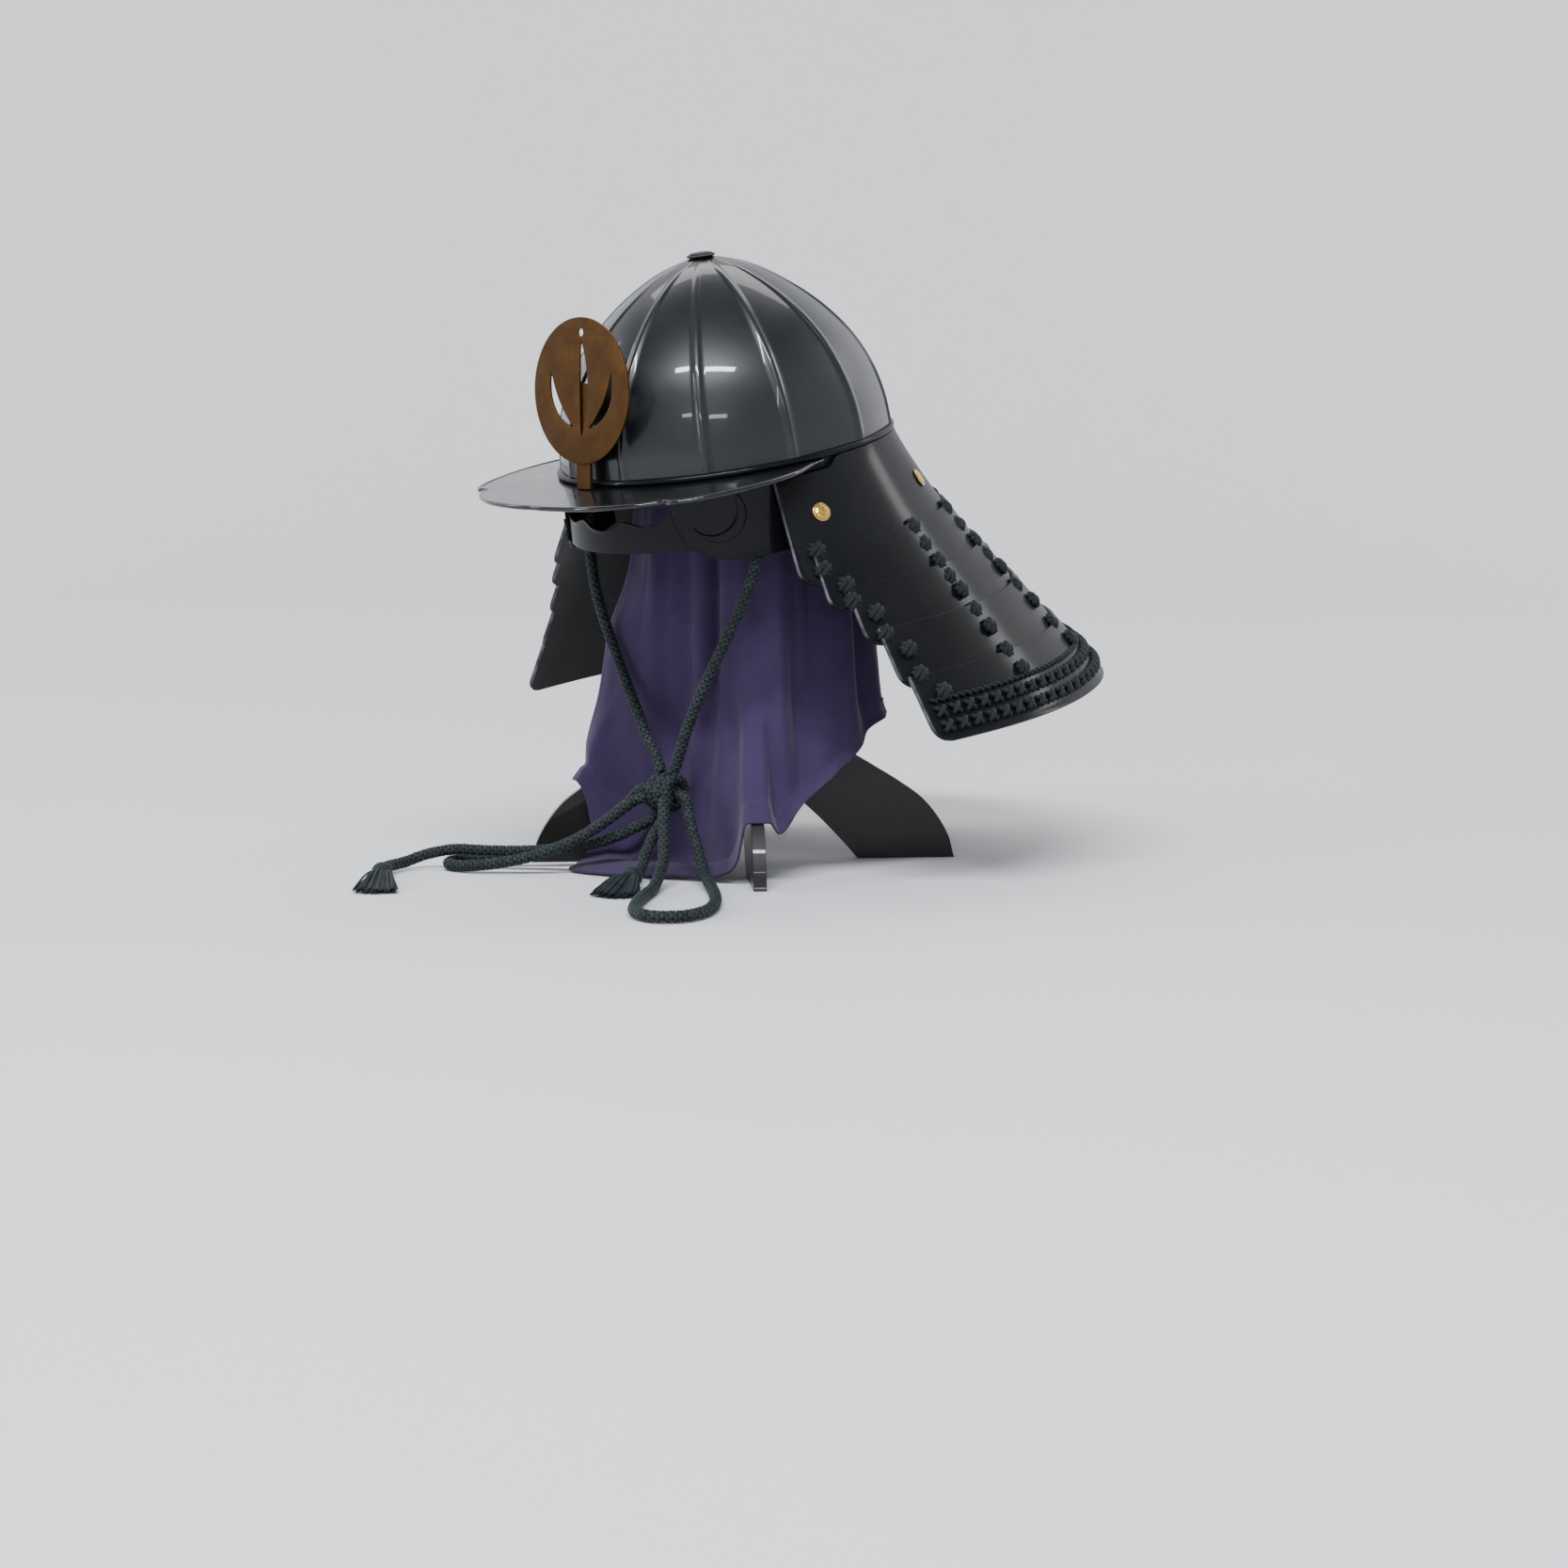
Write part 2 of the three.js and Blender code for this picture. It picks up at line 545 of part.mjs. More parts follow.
function visor() {
  const half = [...VISOR_EDGE].reverse().map(({ angle, reach }) => ({ angle: -angle, reach }));
  const edge = [...half.slice(0, -1), ...VISOR_EDGE];
  const root = -0.5;
  const rowOf = (share, bead) => edge.map(({ angle, reach }) => {
    const most = reach * VISOR_REACH;
    const beadShare = Math.min(VISOR_BEAD_WIDTH / most, 0.5);
    const out = share <= 1 ? most * (1 - beadShare) * share : most * (1 - beadShare * (2 - share));
    const rise = bead * THREE.MathUtils.clamp(most / VISOR_BEAD_WIDTH / 2 - 1, 0, 1);
    return {
      angle,
      outset: lerp(root, most, out / most),
      height: -SHELF - VISOR_DROP * out / VISOR_REACH,
      bead: rise,
    };
  });
  const rows = [rowOf(0, 0), rowOf(0.5, 0), rowOf(1, 0), rowOf(1.25, VISOR_BEAD), rowOf(2, VISOR_BEAD)];
  const top = rows.map((row) => row.map((p) => rimPoint(p.angle, p.outset, p.height + p.bead)));
  const under = rows.map((row) => row.map((p) => {
    return rimPoint(p.angle, p.outset, p.height - VISOR_WALL - p.bead);
  }));
  return wall(top, under);
}

// Neck guard

function guardPoint(angle, share, lift) {
  const ahead = Math.cos(rad(angle));
  const fall = Math.tan(rad(GUARD_RIM_SLOPE));
  const flare = Math.tan(rad(lerp(FLARE_SIDE, FLARE_REAR, Math.max(0, -ahead))));
  const depth = (GUARD_DEPTH - fall * ahead * BOWL_HALF_WIDTH) / (1 + fall * ahead * flare);
  const slope = flare * FLARE_CURVE * share ** (FLARE_CURVE - 1);
  const slant = Math.hypot(1, slope);
  const outset = 1.3 + depth * flare * share ** FLARE_CURVE + lift / slant;
  return rimPoint(angle, outset, -SHELF - depth * share + lift * slope / slant);
}

function lame(number) {
  const { top, bottom, front } = LAMES[number];
  const lift = number * (LAME_WALL + LAP_GAP);
  const underVisor = 0.036;
  const corner = LAME_CORNER / GUARD_DEPTH;
  const rows = [
    { share: top, back: 0 },
    ...(number === 0 ? [{ share: bottom * 0.45, back: 0 }] : []),
    { share: bottom - corner, back: 0 },
    { share: bottom - corner * 0.29, back: LAME_CORNER * 0.29 },
    { share: bottom, back: LAME_CORNER },
  ];
  const angles = [front, front + 6];
  for (let angle = 0; angle <= 180; angle += LAME_STEP) {
    if (angle >= front + 7.5) {
      angles.push(angle);
    }
  }
  const bearings = [...angles, ...angles.filter((angle) => angle < 180).reverse().map((angle) => 360 - angle)];
  const grid = (side) => rows.map(({ share, back }) => bearings.map((angle, column) => {
    const sheltered = angle < 88 || angle > 272;
    const placed = sheltered ? Math.max(share, underVisor) : share;
    const radius = BOWL_HALF_WIDTH + GUARD_DEPTH * placed * Math.tan(rad(FLARE_SIDE));
    const turn = THREE.MathUtils.radToDeg(back / radius);
    const shifted = angle + (column === 0 ? turn : 0) - (column === bearings.length - 1 ? turn : 0);
    return guardPoint(shifted, placed, lift - side * LAME_WALL);
  }));
  return wall(grid(0), grid(1));
}

function rivet(angle) {
  const place = guardPoint(angle, RIVET_SHARE, 2.5 * GAP);
  const along = guardPoint(angle + 0.5, RIVET_SHARE, 0).sub(guardPoint(angle - 0.5, RIVET_SHARE, 0));
  const down = guardPoint(angle, RIVET_SHARE + 0.01, 0).sub(guardPoint(angle, RIVET_SHARE - 0.01, 0));
  const normal = down.cross(along).normalize();
  const outward = vec(place.x, place.y, 0);
  normal.multiplyScalar(Math.sign(normal.dot(outward)));
  const dome = turned([
    [RIVET_RADIUS, 0],
    [RIVET_RADIUS * 0.97, RIVET_RISE * 0.3],
    [RIVET_RADIUS * 0.72, RIVET_RISE * 0.55],
    [RIVET_RADIUS * 0.3, RIVET_RISE],
  ], 12);
  const turn = new THREE.Quaternion().setFromUnitVectors(vec(0, 0, 1), normal);
  return dome.applyQuaternion(turn).translate(place.x, place.y, place.z);
}

// Side plates and brow plate

function crescent(side) {
  const columns = steps(12);
  const arc = (share, width) => {
    const angle = rad(CRESCENT_TURN + (share - 0.5) * CRESCENT_SWEEP);
    const taper = Math.sin(Math.PI * lerp(0.03, 0.97, share)) ** 1.2;
    const radius = CRESCENT_RADIUS - width * CRESCENT_WIDTH * taper;
    const degrees = THREE.MathUtils.radToDeg(radius * Math.cos(angle) / (BOWL_HALF_WIDTH + 8));
    return { angle: side * (CRESCENT_ANGLE + degrees), height: radius * Math.sin(angle) - CRESCENT_DROP };
  };
  const grid = (outset) => [0, 1].map((width) => columns.map((share) => {
    const place = arc(share, width);
    return rimPoint(place.angle, outset, place.height);
  }));
  return wall(grid(SIDE_OUTSET + CRESCENT_RISE), grid(SIDE_OUTSET - CRESCENT_ROOT));
}

function sidePlate(side) {
  const grid = (outset) => steps(2).map((row) => SIDE_OUTLINE.map(({ angle, upper, lower }) => {
    return rimPoint(side * angle, outset, -SIDE_DEPTH * lerp(upper, lower, row));
  }));
  const plate = wall(grid(SIDE_OUTSET), grid(SIDE_OUTSET - SIDE_WALL));
  return fromManifold(toManifold(plate).add(toManifold(crescent(side))));
}

function browPlate() {
  const half = [...BROW_WAVE].reverse().map(({ angle, upper }) => ({ angle: -angle, upper }));
  const columns = [...half.slice(0, -1), ...BROW_WAVE];
  const grid = (outset) => [0, 1].map((row) => columns.map(({ angle, upper }) => {
    return rimPoint(angle, outset, -BROW_DEPTH * lerp(upper, 1, row));
  }));
  return wall(grid(BROW_OUTSET), grid(BROW_OUTSET - BROW_WALL));
}

// Crest

function leafCut({ x, z, lean, length, width, bend }) {
  const across = vec(Math.cos(rad(lean)), Math.sin(rad(lean)), 0);
  const along = vec(-Math.sin(rad(lean)), Math.cos(rad(lean)), 0);
  const edge = (share, side) => {
    const half = side * 0.5 * width * Math.sin(Math.PI * share) ** 0.7;
    return vec(x, z, 0)
      .addScaledVector(along, share * length)
      .addScaledVector(across, half + bend * 4 * share * (1 - share))
      .multiplyScalar(CREST_RADIUS);
  };
  const shares = steps(6);
  return new THREE.Path([
    ...shares.map((share) => edge(share, 1)),
    ...shares.slice(1, -1).reverse().map((share) => edge(share, -1)),
  ].map((point) => new THREE.Vector2(point.x, point.y)));
}

function crestDisc() {
  const shape = new THREE.Shape().absarc(0, 0, CREST_RADIUS, 0, 2 * Math.PI);
  const hole = new THREE.Path().absarc(
    CREST_HOLE.x * CREST_RADIUS, CREST_HOLE.z * CREST_RADIUS, CREST_HOLE.radius * CREST_RADIUS, 0, 2 * Math.PI,
  );
  shape.holes.push(...CREST_CUTS.map(leafCut));
  const ring = new THREE.Path(hole.getPoints(6));
  shape.holes.push(ring);
  const disc = new THREE.ExtrudeGeometry(shape, { depth: CREST_WALL, bevelEnabled: false, curveSegments: 44 });
  disc.rotateX(Math.PI / 2);
  return disc.translate(0, CREST_WALL / 2 - CREST_FORWARD, CREST_HEIGHT);
}

function crestProng() {
  const front = CREST_FORWARD - CREST_WALL / 2 - GAP;
  const back = front - PRONG_WALL;
  const foot = BASE_HEIGHT - back * Math.tan(rad(PITCH)) - SHELF / Math.cos(rad(PITCH)) + GAP;
  const top = CREST_HEIGHT - CREST_RADIUS + 2 * CREST_RADIUS * PRONG_SHARE;
  const prong = new THREE.BoxGeometry(PRONG_WIDTH, PRONG_WALL, top - foot);
  return prong.translate(0, -(front + back) / 2, (top + foot) / 2);
}

// Stand

function standBoard(bearing, slotFromTop) {
  const top = HEAD_FOOT - GAP;
  const middle = (BOARD_ARCH + top) / 2;
  const slot = BOARD_WALL / 2 + GAP;
  const arch = [0.98, 0.9, 0.75, 0.55, 0.3, 0].map((share) => {
    return [BOARD_SPRING * (1 - share) ** 0.69, share * BOARD_ARCH];
  });
  const outer = BOARD_OUTER.map(({ reach, height }) => [reach * BOARD_REACH, height * BOARD_SHOULDER]);
  const neck = [[BOARD_NECK, BOARD_SHOULDER], [BOARD_NECK, top]];
  const upper = slotFromTop ? [[slot, top], [slot, middle - GAP / 2]] : [];
  const lower = slotFromTop ? [[0, BOARD_ARCH]] : [[slot, middle + GAP / 2], [slot, BOARD_ARCH * 0.985]];
  const right = [...lower, ...arch, ...outer, ...neck, ...upper];
  const left = right.filter(([x]) => x > 0).reverse().map(([x, z]) => [-x, z]);
  const shape = new THREE.Shape([...right, ...left].map(([x, z]) => new THREE.Vector2(x, z)));
  const board = new THREE.ExtrudeGeometry(shape, { depth: BOARD_WALL, bevelEnabled: false });
  board.translate(0, 0, -BOARD_WALL / 2).rotateX(Math.PI / 2).rotateZ(rad(bearing - 90));
  return board.translate(0, STAND_SETBACK, 0);
}

function standHead() {
  const profile = DOME_ANGLES.map((angle) => {
    return [HEAD_RADIUS * Math.sin(rad(angle)), HEAD_FOOT + HEAD_DEPTH * Math.cos(rad(angle))];
  });
  return turned(profile, 24).translate(0, STAND_SETBACK, 0);
}

function standCloth() {
  const place = (bearing, reach, height) => {
    return vec(reach * Math.sin(rad(bearing)), STAND_SETBACK - reach * Math.cos(rad(bearing)), height);
  };
  const dome = (skin) => DOME_ANGLES.map((angle) => CLOTH_SHAPE.map(({ bearing }) => {
    const reach = (HEAD_RADIUS + skin + 1) * Math.sin(rad(angle));
    return place(bearing, reach, HEAD_FOOT + (HEAD_DEPTH + skin) * Math.cos(rad(angle)));
  }));
  const skirt = [
    CLOTH_SHAPE.map((c) => place(c.bearing, c.waist * CLOTH_REACH, CLOTH_WAIST_HEIGHT)),
    CLOTH_SHAPE.map((c) => place(c.bearing, c.middle * CLOTH_REACH, CLOTH_MIDDLE_HEIGHT)),
    CLOTH_SHAPE.map((c) => place(c.bearing, c.foot * CLOTH_REACH, c.bend * CLOTH_CORNER_HEIGHT)),
    CLOTH_SHAPE.map((c) => place(c.bearing, c.hem * CLOTH_REACH, c.height * CLOTH_CORNER_HEIGHT)),
  ];
  const outer = [...dome(GAP + CLOTH_WALL), ...skirt];
  const inner = [...dome(GAP), ...offset(outer, CLOTH_WALL).slice(DOME_ANGLES.length)];
  return wall(outer, inner, true);
}

// Chin cord

const knotMiddle = vec(KNOT.x, KNOT.y, KNOT.z);

function knotEnd(direction) {
  const away = vec(...direction).normalize();
  const near = knotMiddle.clone().addScaledVector(away, KNOT_RADIUS + GAP);
  const far = near.clone().addScaledVector(away, KNOT_REACH);
  return { near, far };
}

function routeOf({ points, leave, arrive }) {
  const route = points.map((point) => vec(...point));
  if (leave) {
    const { near, far } = knotEnd(leave);
    route.unshift(near, far);
  }
  if (arrive) {
    const { near, far } = knotEnd(arrive);
    route.push(far, near);
  }
  return new THREE.CatmullRomCurve3(route, false, 'centripetal');
}

function tube(curve, radii, sides) {
  const count = radii.length - 1;
  const frames = curve.computeFrenetFrames(count, false);
  return stack(radii.map((radius, index) => {
    const middle = curve.getPointAt(index / count);
    return Array.from({ length: sides }, (_, side) => {
      const angle = (2 * Math.PI * side) / sides;
      return middle.clone()
        .addScaledVector(frames.normals[index], radius * Math.cos(angle))
        .addScaledVector(frames.binormals[index], radius * Math.sin(angle));
    });
  }));
}

function knot() {
  const wraps = 3;
  const profile = steps(9).map((share) => {
    const along = lerp(-1, 1, share);
    const groove = KNOT_GROOVE * Math.cos(Math.PI * wraps * share) ** 4;
    const radius = (KNOT_RADIUS - groove) * Math.sqrt(Math.max(1 - along * along * 0.86, 0));
    return [radius, along * KNOT_RADIUS * 0.93];
  });
  return turned(profile, 12).rotateY(Math.PI / 2).translate(KNOT.x, KNOT.y, KNOT.z);
}

function tassel(tail) {
  const curve = routeOf(CORD_ROUTES[tail]);
  const along = curve.getTangentAt(1).setZ(0).normalize();
  const start = curve.getPointAt(1).addScaledVector(along, 2 * GAP);
  const aside = vec(0, 0, 1).cross(along);
  const place = (distance, across, height) => start.clone()
    .addScaledVector(along, distance)
    .addScaledVector(aside, across)
    .setZ(height);
  const head = turned([
    [CORD_DIAMETER * 0.45, 0],
    [TASSEL_HEAD_RADIUS * 0.92, TASSEL_HEAD_LENGTH * 0.2],
    [TASSEL_HEAD_RADIUS, TASSEL_HEAD_LENGTH * 0.5],
    [TASSEL_HEAD_RADIUS * 0.86, TASSEL_HEAD_LENGTH * 0.8],
    [TASSEL_HEAD_RADIUS * 0.95, TASSEL_HEAD_LENGTH],
  ], 12);
  const turn = new THREE.Quaternion().setFromUnitVectors(vec(0, 0, 1), along);
  head.applyQuaternion(turn).translate(start.x, start.y, start.z);
  const whole = steps(TASSEL_LOCKS - 1).reduce((body, share, index) => {
    const side = lerp(-1, 1, share);
    const layer = index % 2 ? 1 : 0;
    const length = TASSEL_LENGTH - layer * 5 - Math.abs(side) * 4;
    const lock = new THREE.CatmullRomCurve3([
      place(TASSEL_HEAD_LENGTH * 0.7, side * 3, start.z + layer * 1.5 - 0.5),
      place(length * 0.6, side * TASSEL_SPREAD * 0.6, TASSEL_LOCK_RADIUS + 1.2 + layer * 2),
      place(length, side * TASSEL_SPREAD, TASSEL_LOCK_RADIUS + 0.4 + layer),
    ]);
    const radii = [0.85, 1.05, 0.7].map((share) => share * TASSEL_LOCK_RADIUS);
    return body.add(toManifold(tube(lock, radii, 5)));
  }, toManifold(head));
  return fromManifold(whole);
}

// The whole

const part = new THREE.Group();

function add(name, geometry, finish) {
  geometry.deleteAttribute('uv');
  geometry.deleteAttribute('normal');
  geometry.computeVertexNormals();
  const mesh = new THREE.Mesh(geometry, new THREE.MeshStandardMaterial(finish));
  mesh.name = name;
  part.add(mesh);
}

add('bowl', onHelmet(bowl()), LACQUER);
add('crown_boss', onHelmet(crownBoss()), LACQUER);
add('rim_band', onHelmet(rimBand()), LACQUER);
add('visor', onHelmet(visor()), LACQUER);
add('brow_plate', onHelmet(browPlate()), LACQUER);
add('side_plate_left', onHelmet(sidePlate(1)), LACQUER);
add('side_plate_right', onHelmet(sidePlate(-1)), LACQUER);
LAMES.forEach((_, number) => add(`lame_${number + 1}`, onHelmet(lame(number)), LACQUER));
RIVET_ANGLES.forEach((angle, index) => add(`rivet_${index + 1}`, onHelmet(rivet(angle)), GILT));
add('crest_disc', crestDisc(), BRONZE);
add('crest_prong', crestProng(), BRONZE);
add('stand_board_a', standBoard(BOARD_BEARING, true), BLACK_WOOD);
add('stand_board_b', standBoard(BOARD_BEARING + 90, false), BLACK_WOOD);
add('stand_head', standHead(), BLACK_WOOD);
add('stand_cloth', standCloth(), PURPLE_CLOTH);

const middle = new THREE.Box3().setFromObject(part).getCenter(vec(0, 0, 0));

for (const [name, route] of Object.entries(CORD_ROUTES)) {
  const radii = steps(route.steps).map(() => CORD_DIAMETER / 2);
  add(name, tube(routeOf(route), radii, CORD_SIDES), CORD_SILK);
}
add('knot', knot(), CORD_SILK);
for (const [name, tail] of Object.entries(TASSEL_TAILS)) {
  add(name, tassel(tail), CORD_SILK);
}

for (const mesh of part.children) {
  mesh.geometry.translate(-middle.x, -middle.y, 0);
}

export default part;
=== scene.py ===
"""Looks of the kabuto on its stand: lacquered plates, laces, braided cord, pierced crest and draped cloth."""
import math

import bmesh
import bpy
import numpy as np
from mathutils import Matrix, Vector


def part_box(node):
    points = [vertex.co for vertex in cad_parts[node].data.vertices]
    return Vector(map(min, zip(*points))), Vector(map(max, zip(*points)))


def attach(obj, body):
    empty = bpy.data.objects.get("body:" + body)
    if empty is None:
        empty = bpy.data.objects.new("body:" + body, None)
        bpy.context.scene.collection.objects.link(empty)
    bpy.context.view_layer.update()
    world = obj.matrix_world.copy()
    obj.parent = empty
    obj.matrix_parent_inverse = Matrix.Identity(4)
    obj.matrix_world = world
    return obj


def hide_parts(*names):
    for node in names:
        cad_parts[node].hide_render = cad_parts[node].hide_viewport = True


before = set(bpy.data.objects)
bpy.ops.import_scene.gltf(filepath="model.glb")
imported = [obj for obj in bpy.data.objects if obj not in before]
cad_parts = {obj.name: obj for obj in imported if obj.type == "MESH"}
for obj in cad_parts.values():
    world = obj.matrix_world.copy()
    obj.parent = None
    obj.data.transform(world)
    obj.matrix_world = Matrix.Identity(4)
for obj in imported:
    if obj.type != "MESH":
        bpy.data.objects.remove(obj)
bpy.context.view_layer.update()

# Shared frame. Lengths are in millimetres from the bowl's middle, until a mesh is made.
BASE_HEIGHT = 294.0
PITCH = math.radians(10)
STAND_SETBACK = 16.0
board_low, board_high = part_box("stand_board_a")
AXIS = Vector(((board_low.x + board_high.x) / 2, (board_low.y + board_high.y) / 2, 0))
ORIGIN = np.array([AXIS.x, AXIS.y - STAND_SETBACK / 1000, 0.0])

BOWL_HALF_WIDTH = 108.0
BOWL_HALF_LENGTH = 122.5
BOWL_HEIGHT = 131.0
SHELF = 4.6
CORD_RADIUS = 4.2
LAME_STEP = 2.6
FLARE_SIDE = 28.5
VISOR_DEPTH = 60.0
SIDE_PLATE_DEPTH = 61.0
BROW_DEPTH = 51.0

# Camera, as the photograph was taken

CAMERA_AZIMUTH = math.radians(48)
CAMERA_TILT = math.radians(7.41)
CAMERA_DISTANCE = 2.703
CAMERA_HEIGHT = 0.405
FOCAL_PIXELS = 4096
PHOTO_PIXELS = 1667
PIXELS_ASIDE = 43.5
SENSOR = 36
TOWARDS_CAMERA = Vector((math.sin(CAMERA_AZIMUTH), -math.cos(CAMERA_AZIMUTH), 0))
TO_THE_RIGHT = Vector((math.cos(CAMERA_AZIMUTH), math.sin(CAMERA_AZIMUTH), 0))


def metres(points):
    return np.asarray(points, float) / 1000 + ORIGIN


def nod(points):
    """Helmet frame to the world: the bowl's lower edge is z = 0 and the helmet nods forward."""
    p = np.asarray(points, float)
    x, y, z = p[..., 0], p[..., 1], p[..., 2]
    cosine, sine = math.cos(PITCH), math.sin(PITCH)
    return np.stack([x, y * cosine - z * sine, y * sine + z * cosine + BASE_HEIGHT], -1)


def turns_of(count):
    """Angles once round, an even step apart."""
    return np.linspace(0, 2 * math.pi, count, endpoint=False)


def smooth(low, high, value):
    t = np.clip((value - low) / (high - low), 0, 1)
    return t * t * (3 - 2 * t)


def curve_through(xs, ys, value):
    """Smooth curve through a short table of named sizes (cubic with limited slopes)."""
    xs, ys, value = np.asarray(xs, float), np.asarray(ys, float), np.asarray(value, float)
    steps = np.diff(xs)
    rises = np.diff(ys) / steps
    slope = np.zeros(len(xs))
    between = 2 / (1 / (rises[1:] + 1e-12) + 1 / (rises[:-1] + 1e-12))
    slope[1:-1] = np.where(rises[1:] * rises[:-1] > 0, between, 0)
    slope[0], slope[-1] = rises[0], rises[-1]
    k = np.clip(np.searchsorted(xs, value, "right") - 1, 0, len(xs) - 2)
    t = np.clip((value - xs[k]) / steps[k], 0, 1)
    h00, h10 = 2 * t**3 - 3 * t**2 + 1, t**3 - 2 * t**2 + t
    h01, h11 = -2 * t**3 + 3 * t**2, t**3 - t**2
    return h00 * ys[k] + h10 * steps[k] * slope[k] + h01 * ys[k + 1] + h11 * steps[k] * slope[k + 1]


def make_camera():
    aside = math.atan(PIXELS_ASIDE / FOCAL_PIXELS)
    ahead = -TOWARDS_CAMERA * math.cos(aside) + TO_THE_RIGHT * math.sin(aside)
    look = ahead * math.cos(CAMERA_TILT) - Vector((0, 0, math.sin(CAMERA_TILT)))
    camera = bpy.data.cameras.new("camera")
    camera.lens = SENSOR * FOCAL_PIXELS / PHOTO_PIXELS
    camera.sensor_width = SENSOR
    camera.sensor_height = SENSOR
    camera.clip_start = 0.05
    camera.clip_end = 50
    placed = bpy.data.objects.new("camera", camera)
    placed.location = AXIS + TOWARDS_CAMERA * CAMERA_DISTANCE + Vector((0, 0, CAMERA_HEIGHT))
    placed.rotation_euler = look.to_track_quat("-Z", "Y").to_euler()
    bpy.context.scene.collection.objects.link(placed)
    bpy.context.scene.camera = placed


make_camera()

# Meshes from points


def dressed(name, mesh, material, replaces, sharp, bevel=0.0, merge=2e-6):
    """The mesh as a finished object of the body: cleaned, smooth between sharp edges, with its material."""
    tidy = bmesh.new()
    tidy.from_mesh(mesh)
    bmesh.ops.remove_doubles(tidy, verts=tidy.verts, dist=merge)
    bmesh.ops.recalc_face_normals(tidy, faces=tidy.faces)
    tidy.to_mesh(mesh)
    tidy.free()
    for polygon in mesh.polygons:
        polygon.use_smooth = True
    mesh.set_sharp_from_angle(angle=math.radians(sharp))
    mesh.materials.clear()
    mesh.materials.append(material)
    made = bpy.data.objects.new(name, mesh)
    bpy.context.scene.collection.objects.link(made)
    if bevel:
        rounding = made.modifiers.new("rounding", "BEVEL")
        rounding.width = bevel / 1000
        rounding.segments = 3
        rounding.limit_method = "ANGLE"
        rounding.angle_limit = math.radians(sharp)
        rounding.harden_normals = False
    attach(made, "root")
    if replaces:
        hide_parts(*replaces)
    return made


def piece(name, points, faces, material, replaces, sharp, bevel=0.0, crest=None):
    """An object from points; crest holds a braid's strand height, from which the cord silk paints shade into
    the valleys between strands, and on a lame 1 along its front edge, where the satin lacquer paints a
    highlight.
    """
    mesh = bpy.data.meshes.new(name)
    mesh.from_pydata(metres(points).tolist(), [], faces)
    if crest is not None:
        values = mesh.attributes.new("crest", "FLOAT", "POINT").data
        values.foreach_set("value", np.asarray(crest, np.float32))
    return dressed(name, mesh, material, replaces, sharp, bevel)


def join_parts(parts):
    """Several (points, faces) as one."""
    points, faces, start = [], [], 0
    for part_points, part_faces in parts:
        points.append(np.asarray(part_points).reshape(-1, 3))
        faces.extend([tuple(index + start for index in face) for face in part_faces])
        start += len(points[-1])
    return np.vstack(points), faces


def wall(outer, inner, round_about=False):
    """Two grids of points, closed along their edges."""
    rows, columns = outer.shape[:2]
    last = columns if round_about else columns - 1

    def at(side, row, column):
        return side * rows * columns + row * columns + column % columns

    faces = []
    for row in range(rows - 1):
        for c in range(last):
            faces.append((at(0, row, c), at(0, row, c + 1), at(0, row + 1, c + 1), at(0, row + 1, c)))
            faces.append((at(1, row, c), at(1, row + 1, c), at(1, row + 1, c + 1), at(1, row, c + 1)))
    end = rows - 1
    for c in range(last):
        faces.append((at(0, 0, c), at(1, 0, c), at(1, 0, c + 1), at(0, 0, c + 1)))
        faces.append((at(0, end, c), at(0, end, c + 1), at(1, end, c + 1), at(1, end, c)))
    if not round_about:
        end = columns - 1
        for row in range(rows - 1):
            faces.append((at(0, row, 0), at(0, row + 1, 0), at(1, row + 1, 0), at(1, row, 0)))
            faces.append((at(0, row, end), at(1, row, end), at(1, row + 1, end), at(0, row + 1, end)))
    return np.vstack([outer.reshape(-1, 3), inner.reshape(-1, 3)]), faces


def stack(rings):
    """Rings of points as one closed skin, with a point in the middle of each end."""
    rings = np.asarray(rings)
    count, sides = rings.shape[:2]
    faces = []
    for ring in range(count - 1):
        for side in range(sides):
            a, b = ring * sides + side, ring * sides + (side + 1) % sides
            faces.append((a, b, b + sides, a + sides))
    points = np.vstack([rings.reshape(-1, 3), rings[0].mean(0), rings[-1].mean(0)])
    foot, top = len(points) - 2, len(points) - 1
    for side in range(sides):
        after = (side + 1) % sides
        faces.append((foot, after, side))
        faces.append((top, (count - 1) * sides + side, (count - 1) * sides + after))
    return points, faces


def turned(profile, sides=64):
    angles = turns_of(sides)
    x, y = np.cos(angles), np.sin(angles)
    return stack([np.stack([r * x, r * y, np.full(sides, h)], -1) for r, h in profile])


def swept_ring(profile, columns, to_point):
    """A closed profile carried all the way round."""
    points = np.array([[to_point(360 * c / columns, *place) for place in profile] for c in range(columns)])
    count = len(profile)
    faces = []
    for c in range(columns):
        for k in range(count):
            a, b = c * count + k, c * count + (k + 1) % count
            d, e = ((c + 1) % columns) * count + k, ((c + 1) % columns) * count + (k + 1) % count
            faces.append((a, b, e, d))
    return points.reshape(-1, 3), faces


def frames_along(path):
    """Two steady side directions along a path."""
    path = np.asarray(path, float)
    tangents = np.gradient(path, axis=0)
    tangents /= np.linalg.norm(tangents, axis=1)[:, None]
    start = np.array([0, 0, 1.0]) if abs(tangents[0, 2]) < 0.9 else np.array([1.0, 0, 0])
    normal = np.cross(tangents[0], start)
    normal /= np.linalg.norm(normal)
    normals = [normal]
    for tangent in tangents[1:]:
        normal = normals[-1] - tangent * (normals[-1] @ tangent)
        normals.append(normal / np.linalg.norm(normal))
    normals = np.array(normals)
    return normals, np.cross(tangents, normals)


